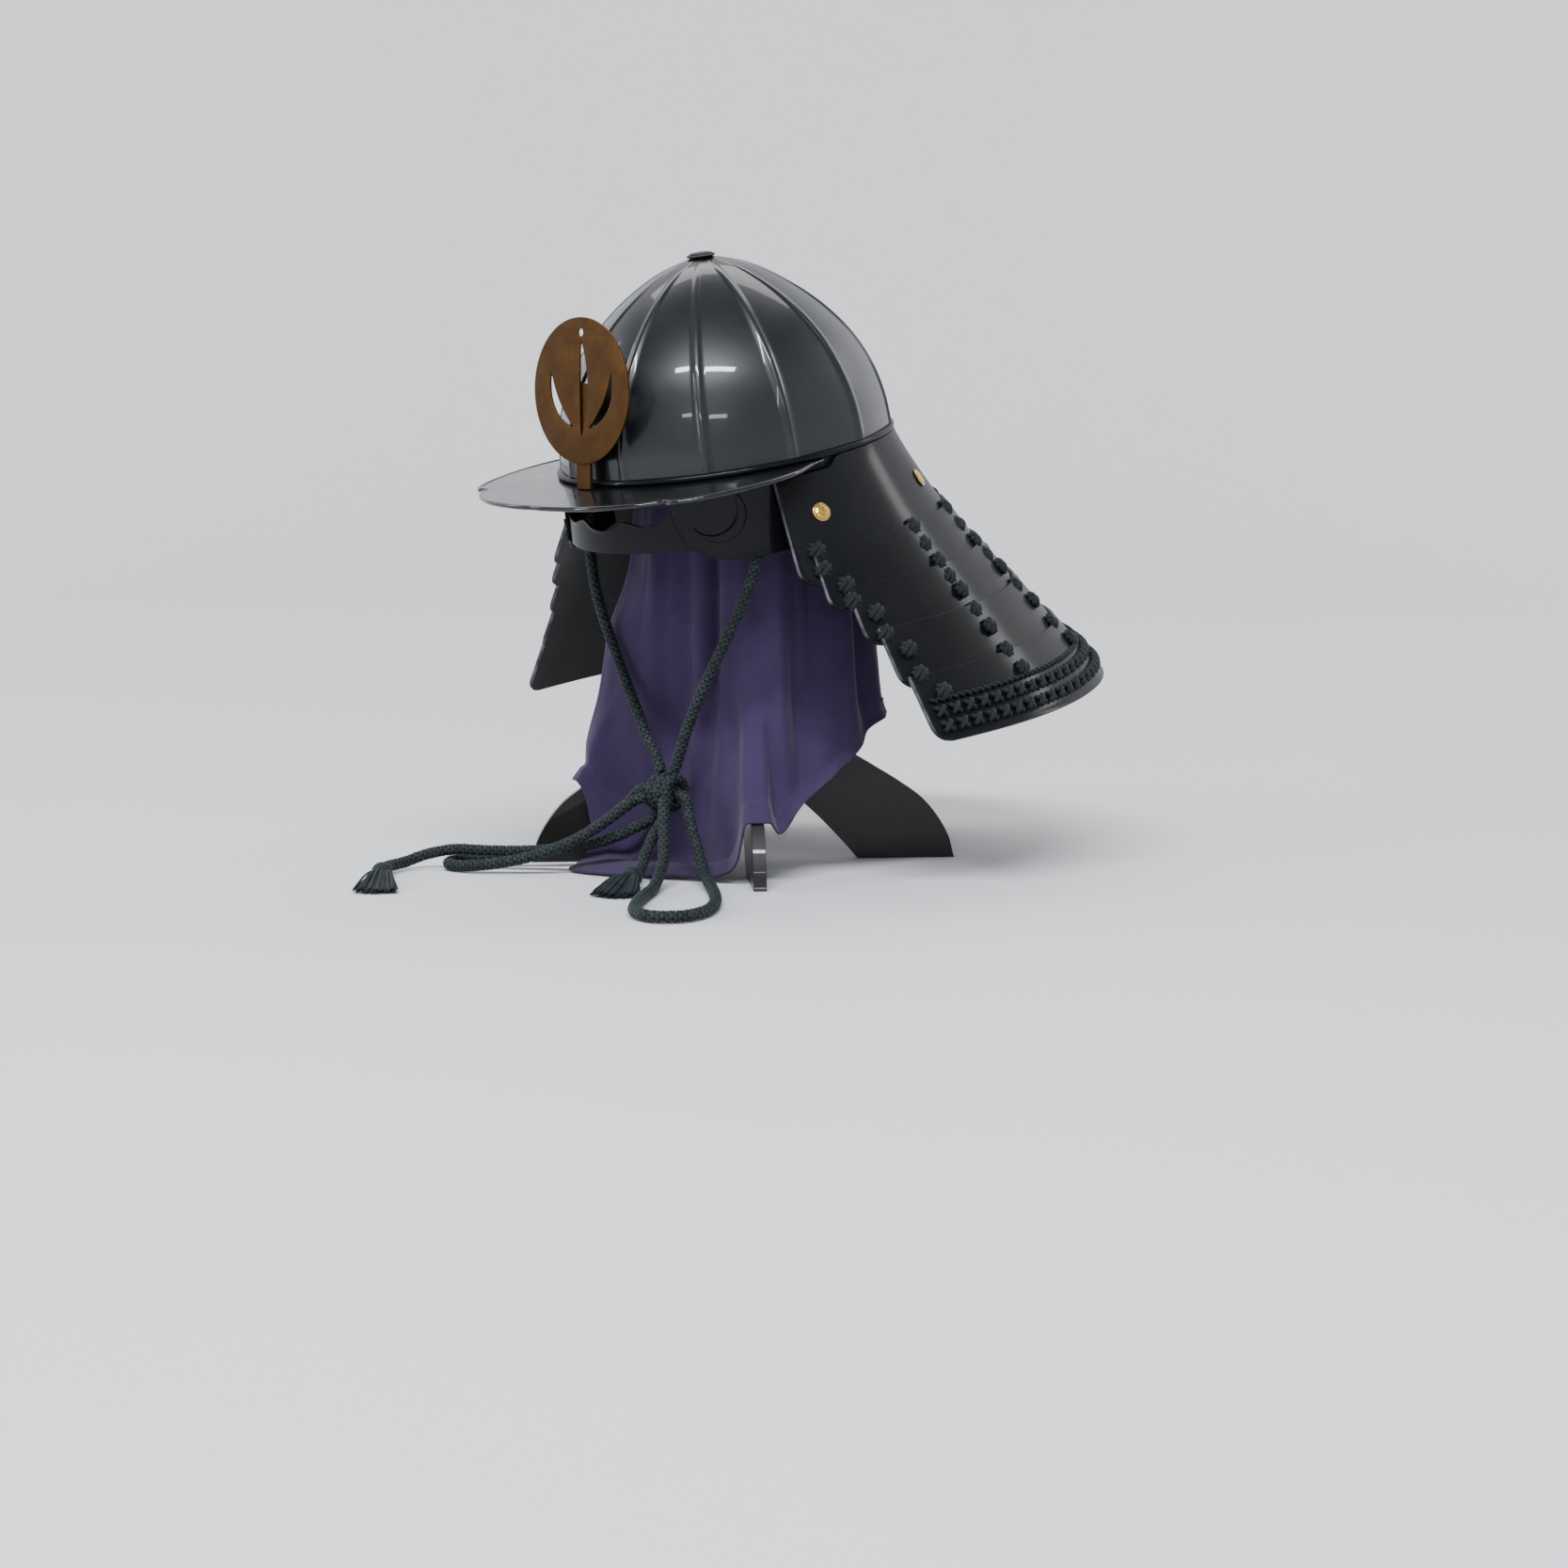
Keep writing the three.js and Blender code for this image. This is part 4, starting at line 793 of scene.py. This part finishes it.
def make_side_plate(side, name):
    angles = np.concatenate([np.linspace(31, 40, 28), np.linspace(40.5, 80, 60)])
    upper = curve_through(SIDE_ANGLES, SIDE_UPPER, angles)
    lower = curve_through(SIDE_ANGLES, SIDE_LOWER, angles)
    grids = []
    for lining in (0, 1):
        rows = []
        for row in np.linspace(0, 1, 22):
            height = -SIDE_PLATE_DEPTH * (upper + (lower - upper) * row)
            edge = smooth(0.92, 0.98, row) * 0.5 if lining == 0 else 0
            rows.append(rim_point(side * angles, 0.7 + edge - 1.2 * lining, height))
        grids.append(np.array(rows))
    parts = [wall(grids[0], grids[1])]
    shares = np.linspace(0, 1, 61)
    arc = np.radians(-45 + (shares - 0.5) * 230)
    taper = np.sin(math.pi * (0.03 + 0.94 * shares)) ** 1.2
    rows = []
    for across in np.linspace(0, 1, 11):
        radius = 19 - across * 8.5 * taper
        degrees = np.degrees(radius * np.cos(arc) / (BOWL_HALF_WIDTH + 8))
        round_over = math.sqrt(max(1 - (2 * across - 1) ** 4, 0))
        rows.append(rim_point(side * (47 + degrees), 0.3 + 2.2 * round_over, radius * np.sin(arc) - 29))
    inner = [rim_point(side * (47 + np.degrees((19 - a * 8.5 * taper) * np.cos(arc) / (BOWL_HALF_WIDTH + 8))),
                       -0.2, (19 - a * 8.5 * taper) * np.sin(arc) - 29) for a in np.linspace(0, 1, 11)]
    parts.append(wall(np.array(rows), np.array(inner)))
    points, faces = join_parts(parts)
    piece(name + "_crescent", nod(points), faces, BLACK, [name], sharp=50, bevel=0.35)


BROW_ANGLES = [0, 5, 11, 15, 19, 24, 29, 33, 37]
BROW_UPPER = [0.70, 0.67, 0.57, 0.60, 0.635, 0.61, 0.50, 0.445, 0.43]


def make_brow_plate():
    angles = np.linspace(-37, 37, 149)
    upper = curve_through(BROW_ANGLES, BROW_UPPER, np.abs(angles))
    grids = []
    for lining in (0, 1):
        rows = []
        for row in np.linspace(0, 1, 16):
            edge = (1 - smooth(0.02, 0.14, row)) * 0.8 if lining == 0 else 0
            height = -BROW_DEPTH * (upper + (1 - upper) * row)
            rows.append(rim_point(angles, -1.4 + edge - 1.3 * lining, height))
        grids.append(np.array(rows))
    points, faces = wall(grids[0], grids[1])
    piece("brow_plate_wave", nod(points), faces, BLACK, ["brow_plate"], sharp=50, bevel=0.35)


def surface_frame(angle, share, lift):
    """A place on the neck guard and its directions: along the plate, down it, and out of it."""
    place = guard_point(angle, share, lift)
    along = guard_point(angle + 0.5, share, lift) - guard_point(angle - 0.5, share, lift)
    down = guard_point(angle, share + 0.005, lift) - guard_point(angle, share - 0.005, lift)
    along /= np.linalg.norm(along)
    down = down - along * (down @ along)
    down /= np.linalg.norm(down)
    out = np.cross(along, down)
    return place, along, down, out * np.sign(out @ np.array([place[0], place[1], 0]))


def make_rivets():
    for index, angle in enumerate((78, 129, 231, 282)):
        place, along, down, out = surface_frame(float(angle), 0.175, 0.75)
        profile = [(5.2, -0.2), (6.4, 0.0), (6.5, 0.35), (6.1, 0.6), (5.3, 0.62), (4.9, 0.55), (4.4, 0.9),
                   (3.4, 1.35), (2.2, 1.6), (1.5, 1.55), (1.25, 1.75), (0.9, 2.1), (0.3, 2.25)]
        angles = turns_of(72)
        rings = []
        for radius, height in profile:
            petals = 1 + 0.05 * np.cos(8 * angles) * (2.0 < radius < 5.5)
            rings.append(place + (radius * petals * np.cos(angles))[:, None] * along
                         + (radius * petals * np.sin(angles))[:, None] * down + height * out)
        points, faces = stack(np.array(rings))
        name = f"rivet_{index + 1}"
        piece(name + "_gilt", nod(points), faces, GILT, [name], sharp=30)


# Laces that tie the plates


def stitch(place, along, down, out, angle, length, radius, height):
    """One short cord of a cross, pressed on the plate."""
    turn = math.radians(angle)
    way = math.cos(turn) * along + math.sin(turn) * down
    shares = np.linspace(-1, 1, 9)
    path = [place + way * length / 2 * s + out * (height * (1 - abs(s) ** 2.2) + 0.15) for s in shares]
    return tube(np.array(path), radius, 8, 1.2)


def knots_of(number):
    top, bottom, _ = LAMES[number]
    lift = number * LAME_STEP
    shown_top = top if number == 0 else LAMES[number - 1][1]
    parts = []
    front_angle = (72.5, 76.5, 80.5, 83.5, 86.0)[number]
    columns = [front_angle, 107, 133.5, 160]
    columns += [360 - angle for angle in reversed(columns)]
    if number == 0:
        shares = (0.30, 0.365)
    elif number == 4:
        shares = (0.845,)
    else:
        shares = (shown_top + (bottom - shown_top) * 0.22, shown_top + (bottom - shown_top) * 0.76)
    for angle in columns:
        for share in shares:
            place, along, down, out = surface_frame(float(angle), share, lift + 0.4)
            for turn, height in ((40, 1.7), (-40, 3.3)):
                aside = math.cos(math.radians(turn)) * down - math.sin(math.radians(turn)) * along
                for offset in (-1.75, 1.75):
                    parts.append(stitch(place + aside * offset, along, down, out, turn, 12.5, 2.0, height))
    return parts


def make_laces():
    for number in range(5):
        parts = knots_of(number)
        if number == 4:
            lift = number * LAME_STEP + 0.9
            for share, step in ((0.905, 3.2), (0.955, 3.2)):
                for angle in np.arange(83.5, 277, step):
                    place, along, down, out = surface_frame(float(angle), share, lift)
                    parts.append(stitch(place, along, down, out, 42, 11.0, 1.7, 1.0))
                    parts.append(stitch(place, along, down, out, -42, 11.0, 1.7, 2.2))
            for angle in np.arange(83.0, 277.3, 1.55):
                place, along, down, out = surface_frame(float(angle), 0.868, lift)
                parts.append(stitch(place, along, down, out, 24, 6.6, 1.15, 0.9))
        points, faces = join_parts(parts)
        piece(f"laces_{number + 1}", nod(points), faces, LACE, (), sharp=80)


make_bowl()
make_boss()
make_rim_band()
make_visor()
for lame_number in range(5):
    make_lame(lame_number)
make_side_plate(1, "side_plate_left")
make_side_plate(-1, "side_plate_right")
make_brow_plate()
make_rivets()
make_laces()

# Crest

CREST_RADIUS = 49.5
CREST_FORWARD = 130.0
CREST_HEIGHT = 333.0
CREST_CUTS = [
    (0.0, -0.62, 0, 1.30, 0.17, 0.06),
    (-0.17, -0.50, 32, 0.88, 0.14, -0.13),
    (0.17, -0.50, -32, 0.88, 0.14, 0.13),
]


def leaf_cut(x, z, lean, length, width, bend):
    turn = math.radians(lean)
    across = np.array([math.cos(turn), math.sin(turn)])
    along = np.array([-math.sin(turn), math.cos(turn)])

    def edge(share, side):
        half = side * 0.5 * width * math.sin(math.pi * share) ** 0.7
        return (np.array([x, z]) + along * share * length + across * (half + bend * 4 * share * (1 - share)))

    shares = np.linspace(0, 1, 25)
    return [edge(s, 1) for s in shares] + [edge(s, -1) for s in shares[-2:0:-1]]


def make_crest():
    circle = [(math.cos(t), math.sin(t)) for t in turns_of(160)]
    turns = turns_of(32)
    hole = [(0.055 * math.cos(t), 0.79 + 0.055 * math.sin(t)) for t in turns]
    curve = bpy.data.curves.new("crest", "CURVE")
    curve.dimensions = "2D"
    curve.fill_mode = "BOTH"
    for outline, size in ((circle, 0.997), (hole, 1), *((leaf_cut(*cut), 1) for cut in CREST_CUTS)):
        line = curve.splines.new("POLY")
        line.points.add(len(outline) - 1)
        for point, (x, z) in zip(line.points, outline):
            point.co = (x * size * CREST_RADIUS / 1000, z * size * CREST_RADIUS / 1000, 0, 1)
        line.use_cyclic_u = True
    curve.extrude = 0.00052
    curve.bevel_depth = 0.00028
    curve.bevel_resolution = 2
    curve.offset = -0.00028
    flat = bpy.data.objects.new("crest_flat", curve)
    bpy.context.scene.collection.objects.link(flat)
    bpy.context.view_layer.update()
    mesh = bpy.data.meshes.new_from_object(flat.evaluated_get(bpy.context.evaluated_depsgraph_get()))
    bpy.data.objects.remove(flat)
    middle = metres([0, -CREST_FORWARD, CREST_HEIGHT])
    for vertex in mesh.vertices:
        x, z, y = vertex.co
        vertex.co = (middle[0] + x, middle[1] - y, middle[2] + z)
    mesh.name = "crest_disc_pierced"
    dressed("crest_disc_pierced", mesh, BRONZE, ["crest_disc"], sharp=30, merge=1e-6)


make_crest()

# Stand

BOARD_REACH = 150.0
BOARD_OUTER = [(1.0, 0.0), (0.993, 0.03), (0.975, 0.13), (0.927, 0.255), (0.85, 0.385), (0.747, 0.49),
               (0.63, 0.59), (0.507, 0.69), (0.38, 0.785), (0.25, 0.885)]
HEAD_FOOT = 335.4


def make_board(name, bearing, slot_from_top):
    top = HEAD_FOOT - GAP
    middle = (66 + top) / 2
    slot = 4.8
    arch = [(81 * (1 - s) ** 0.69, s * 66) for s in np.concatenate([[0.98], np.linspace(0.95, 0, 24)])]
    outer = [(x, z) for x, _, z in spline([(r * BOARD_REACH, 0, h * 110) for r, h in BOARD_OUTER]
                                          + [(26.5, 0, 105), (24.2, 0, 116)], 6)]
    neck = [(24, 130), (24, top)]
    upper = [(slot, top), (slot, middle - 0.15)] if slot_from_top else []
    lower = [(0.0, 66.0)] if slot_from_top else [(slot, middle + 0.15), (slot, 65.0)]
    right = [*lower, *arch, *outer, *neck, *upper]
    outline = right + [(-x, z) for x, z in reversed(right) if x > 0]
    count = len(outline)
    turn = math.radians(bearing)
    points = []
    for side in (-4.5, 4.5):
        for r, z in outline:
            points.append((r * math.sin(turn) + side * math.cos(turn),
                           STAND_SETBACK - r * math.cos(turn) + side * math.sin(turn), z))
    faces = [tuple(range(count))[::-1], tuple(range(count, 2 * count))]
    faces += [(k, (k + 1) % count, count + (k + 1) % count, count + k) for k in range(count)]
    piece(name + "_lacquered", np.array(points), faces, BOARD, [name], sharp=35, bevel=0.7)


make_board("stand_board_a", 52.3, True)
make_board("stand_board_b", 142.3, False)

# Cloth

CLOTH_REACH = 125.0
CLOTH_DROP = 100.0
HEAD_RADIUS = 66.0
HEAD_HEIGHT = 74.0
# Bearing, then shares of the reach at the waist, middle and foot, share of the drop at the foot, and both
# again for the hem.
CLOTH_TABLE = [
    (-172, 0.62, 0.66, 0.69, 1.11, 0.71, 1.07), (-161, 0.66, 0.71, 0.73, 1.06, 0.75, 1.00),
    (-150, 0.64, 0.70, 0.74, 0.98, 0.77, 0.92), (-140, 0.67, 0.76, 0.81, 0.88, 0.86, 0.80),
    (-131.5, 0.67, 0.77, 0.82, 0.84, 0.92, 0.73), (-124, 0.67, 0.77, 0.82, 0.84, 0.92, 0.73),
    (-115, 0.64, 0.70, 0.75, 0.96, 0.80, 0.84), (-105, 0.69, 0.74, 0.76, 1.00, 0.79, 0.94),
    (-94, 0.65, 0.69, 0.71, 1.03, 0.73, 0.98), (-84, 0.69, 0.74, 0.76, 1.01, 0.78, 0.96),
    (-75, 0.68, 0.74, 0.78, 0.95, 0.81, 0.88), (-66, 0.71, 0.79, 0.82, 0.87, 0.85, 0.79),
    (-58, 0.66, 0.74, 0.82, 0.75, 0.90, 0.66), (-50, 0.65, 0.76, 0.87, 0.67, 0.97, 0.55),
    (-41.5, 0.60, 0.68, 0.81, 0.72, 0.94, 0.58), (-33.9, 0.575, 0.62, 0.79, 0.72, 0.92, 0.58),
    (-30.3, 0.57, 0.61, 0.72, 0.34, 0.87, 0.22), (-26, 0.565, 0.60, 0.67, 0.16, 0.94, 0.06),
    (-20, 0.55, 0.58, 0.64, 0.13, 1.02, 0.03), (-14, 0.55, 0.57, 0.63, 0.12, 1.09, 0.03),
    (-7, 0.51, 0.52, 0.60, 0.12, 1.06, 0.03), (0, 0.50, 0.50, 0.59, 0.12, 1.01, 0.03),
    (9, 0.475, 0.47, 0.58, 0.12, 0.95, 0.03), (18, 0.49, 0.50, 0.60, 0.12, 0.91, 0.04),
    (27, 0.47, 0.46, 0.61, 0.13, 0.89, 0.045), (36, 0.51, 0.52, 0.70, 0.16, 0.92, 0.05),
    (42, 0.51, 0.53, 0.78, 0.20, 0.96, 0.08), (45.6, 0.52, 0.55, 0.82, 0.32, 1.01, 0.16),
    (48.6, 0.53, 0.57, 0.86, 0.62, 1.04, 0.44), (56, 0.545, 0.59, 0.86, 0.62, 1.03, 0.44),
    (60, 0.56, 0.60, 0.80, 0.48, 0.96, 0.35), (67, 0.60, 0.65, 0.77, 0.58, 0.89, 0.48),
    (74, 0.585, 0.62, 0.72, 0.66, 0.83, 0.57), (82, 0.65, 0.71, 0.77, 0.75, 0.83, 0.67),
    (92, 0.65, 0.70, 0.74, 0.85, 0.79, 0.78), (102, 0.70, 0.76, 0.78, 0.94, 0.80, 0.87),
    (112, 0.67, 0.73, 0.75, 1.02, 0.77, 0.96), (122, 0.70, 0.78, 0.79, 1.08, 0.81, 1.03),
    (131, 0.67, 0.74, 0.76, 1.10, 0.78, 1.05), (140, 0.69, 0.76, 0.78, 1.10, 0.79, 1.06),
    (150, 0.66, 0.72, 0.74, 1.11, 0.76, 1.07), (160, 0.67, 0.72, 0.74, 1.11, 0.75, 1.08),
    (169, 0.62, 0.66, 0.69, 1.12, 0.71, 1.09), (178, 0.66, 0.70, 0.72, 1.12, 0.73, 1.09),
]

# Soft folds: bearing near the helmet and near the hem, size outwards in mm, width in degrees, top and foot
# in mm.
CLOTH_FOLDS = [
    (-40, -37, 14, 15, 215, 70), (-14, -20, 3, 9, 280, 60), (6, 0, -3, 8, 285, 90), (29, 31, -6, 5, 330, 130),
    (44, 50, 4, 9, 330, 110), (35, 46, -5, 4.5, 150, 80), (70, 60, 5, 9, 330, 80), (86, 80, -8, 6, 330, 100),
    (99, 93, 4, 8, 330, 70), (117, 112, -4, 7, 330, 115), (134, 131, 4, 9, 330, 90),
    (156, 152, -5, 8, 330, 110), (176, 174, 4, 9, 330, 110), (-158, -160, -5, 8, 330, 110),
    (-134, -136, 4, 10, 330, 80), (-112, -112, -5, 8, 330, 90), (-90, -90, 4, 9, 330, 90),
    (-66, -68, -5, 8, 330, 80),
]


def make_cloth():
    table = np.array(CLOTH_TABLE)
    bearings = np.concatenate([table[-3:, 0] - 360, table[:, 0], table[:3, 0] + 360])
    columns = np.linspace(-180, 180, 361)[:-1]
    around = np.vstack([table[-3:], table, table[:3]])
    waist, middle, foot, bend, hem, height = (curve_through(bearings, around[:, k], columns)
                                              for k in range(1, 7))
    dome = HEAD_RADIUS + GAP + 2 + 1
    levels = []
    for angle in np.linspace(1, 90, 26):
        r = np.full(len(columns), dome * math.sin(math.radians(angle)))
        z = np.full(len(columns), HEAD_FOOT + (HEAD_HEIGHT + 2.3) * math.cos(math.radians(angle)))
        levels.append((r, z))
    flat = np.ones(len(columns))
    waist, middle, foot, hem = (CLOTH_REACH * share for share in (waist, middle, foot, hem))
    bend, height = CLOTH_DROP * bend, CLOTH_DROP * height
    knots_r = np.array([flat * dome, (dome + waist) / 2 + 1, waist, (waist + middle) / 2, middle,
                        (middle + foot) / 2, foot, (foot + hem) / 2, hem])
    knots_z = np.array([flat * HEAD_FOOT, flat * 270, flat * 205, flat * 162, flat * 120,
                        (120 + bend) / 2, bend, (bend + height) / 2, height])
    spans = np.linspace(0, len(knots_r) - 1, 110)
    for s in spans[1:]:
        k = min(int(s), len(knots_r) - 2)
        t = s - k
        before, after = max(k - 1, 0), min(k + 2, len(knots_r) - 1)
        weights = (-t + 2 * t**2 - t**3, 2 - 5 * t**2 + 3 * t**3, t + 4 * t**2 - 3 * t**3, -(t**2) + t**3)
        r = sum(0.5 * w * knots_r[i] for w, i in zip(weights, (before, k, k + 1, after)))
        z = sum(0.5 * w * knots_z[i] for w, i in zip(weights, (before, k, k + 1, after)))
        levels.append((r, np.maximum(z, 2.6)))
    rows = []
    for r, z in levels:
        down = smooth(300, 40, z)
        for high, low, size, width, top, foot in CLOTH_FOLDS:
            away = (columns - (high + (low - high) * down) + 180) % 360 - 180
            shown = smooth(top, top - 60, z) * smooth(foot - 25, foot + 15, z)
            r = r + size * np.exp(-((away / width) ** 2)) * shown
        a = np.radians(columns)
        rows.append(np.stack([r * np.sin(a), STAND_SETBACK - r * np.cos(a), z], -1))
    outer = np.array(rows)
    normal = np.cross(np.roll(outer, -1, 1) - np.roll(outer, 1, 1), np.gradient(outer, axis=0))
    normal /= np.linalg.norm(normal, axis=2)[..., None] + 1e-9
    inner = outer + normal * 1.5
    points, faces = wall(outer, inner, True)
    made = piece("stand_cloth_drape", points, faces, CLOTH, ["stand_cloth"], sharp=80)


make_cloth()

for kept_node, kept_material in (("crest_prong", BRONZE), ("stand_head", BOARD)):
    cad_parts[kept_node].data.materials.clear()
    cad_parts[kept_node].data.materials.append(kept_material)

# Studio, in metres

FLOOR_REACH = 2.4
FLOOR_BEND = 1.6
WALL_TOP = 5.0


def make_studio():
    back, side = TOWARDS_CAMERA, TO_THE_RIGHT
    middle = AXIS + Vector((0, 0, 0.3))
    profile = [(0.02, 0.0), (FLOOR_REACH, 0.0)]
    for t in np.linspace(0.05, math.pi / 2, 24):
        profile.append((FLOOR_REACH + FLOOR_BEND * math.sin(t), FLOOR_BEND - FLOOR_BEND * math.cos(t)))
    profile += [(FLOOR_REACH + FLOOR_BEND, WALL_TOP)]
    points, faces = [], []
    around = 96
    for reach, height in profile:
        for turn in turns_of(around):
            points.append((AXIS.x + reach * math.cos(turn), AXIS.y + reach * math.sin(turn), height))
    for row in range(len(profile) - 1):
        for step in range(around):
            after = (step + 1) % around
            faces.append((row * around + step, (row + 1) * around + step, (row + 1) * around + after,
                          row * around + after))
    faces.append(tuple(range(around)))
    mesh = bpy.data.meshes.new("backdrop")
    mesh.from_pydata(points, [], faces)
    for polygon in mesh.polygons:
        polygon.use_smooth = True
    mesh.materials.append(material("backdrop_paper", (0.62, 0.62, 0.63), 0.7)[0])
    backdrop = bpy.data.objects.new("backdrop", mesh)
    bpy.context.scene.collection.objects.link(backdrop)
    world = bpy.data.worlds.new("studio")
    world.use_nodes = True
    world.node_tree.nodes["Background"].inputs[0].default_value = (0.80, 0.84, 0.90, 1)
    world.node_tree.nodes["Background"].inputs[1].default_value = 0.15
    bpy.context.scene.world = world

    def lamp(name, place, target, size, power, colour=(1, 1, 1)):
        light = bpy.data.lights.new(name, "AREA")
        light.shape = "RECTANGLE"
        light.size, light.size_y = size
        light.energy = power
        light.color = colour
        made = bpy.data.objects.new(name, light)
        made.location = place
        made.rotation_euler = (Vector(target) - Vector(place)).to_track_quat("-Z", "Y").to_euler()
        bpy.context.scene.collection.objects.link(made)

    cool = (0.90, 0.94, 1.0)
    lamp("tube_high", middle + back * 1.95 - side * 0.2 + Vector((0, 0, 2.4)), middle, (2.3, 0.17), 170, cool)
    lamp("tube_low", middle + back * 2.6 - side * 0.1 + Vector((0, 0, 0.9)), middle, (2.0, 0.12), 17, cool)
    lamp("left_panel", middle + back * 0.9 - side * 2.5 + Vector((0, 0, 0.7)), middle, (0.14, 1.6), 26, cool)
    lamp("overhead", middle - back * 2.2 + Vector((0, 0, 3.4)), middle - back * 1.5, (4.5, 1.4), 105)
    for name, way in (("wall_left", -side), ("wall_right", side)):
        place = middle - back * 1.4 + way * 2.8 + Vector((0, 0, 1.6))
        lamp(name, place, middle - back * 4.0, (1.0, 1.0), 34)


make_studio()
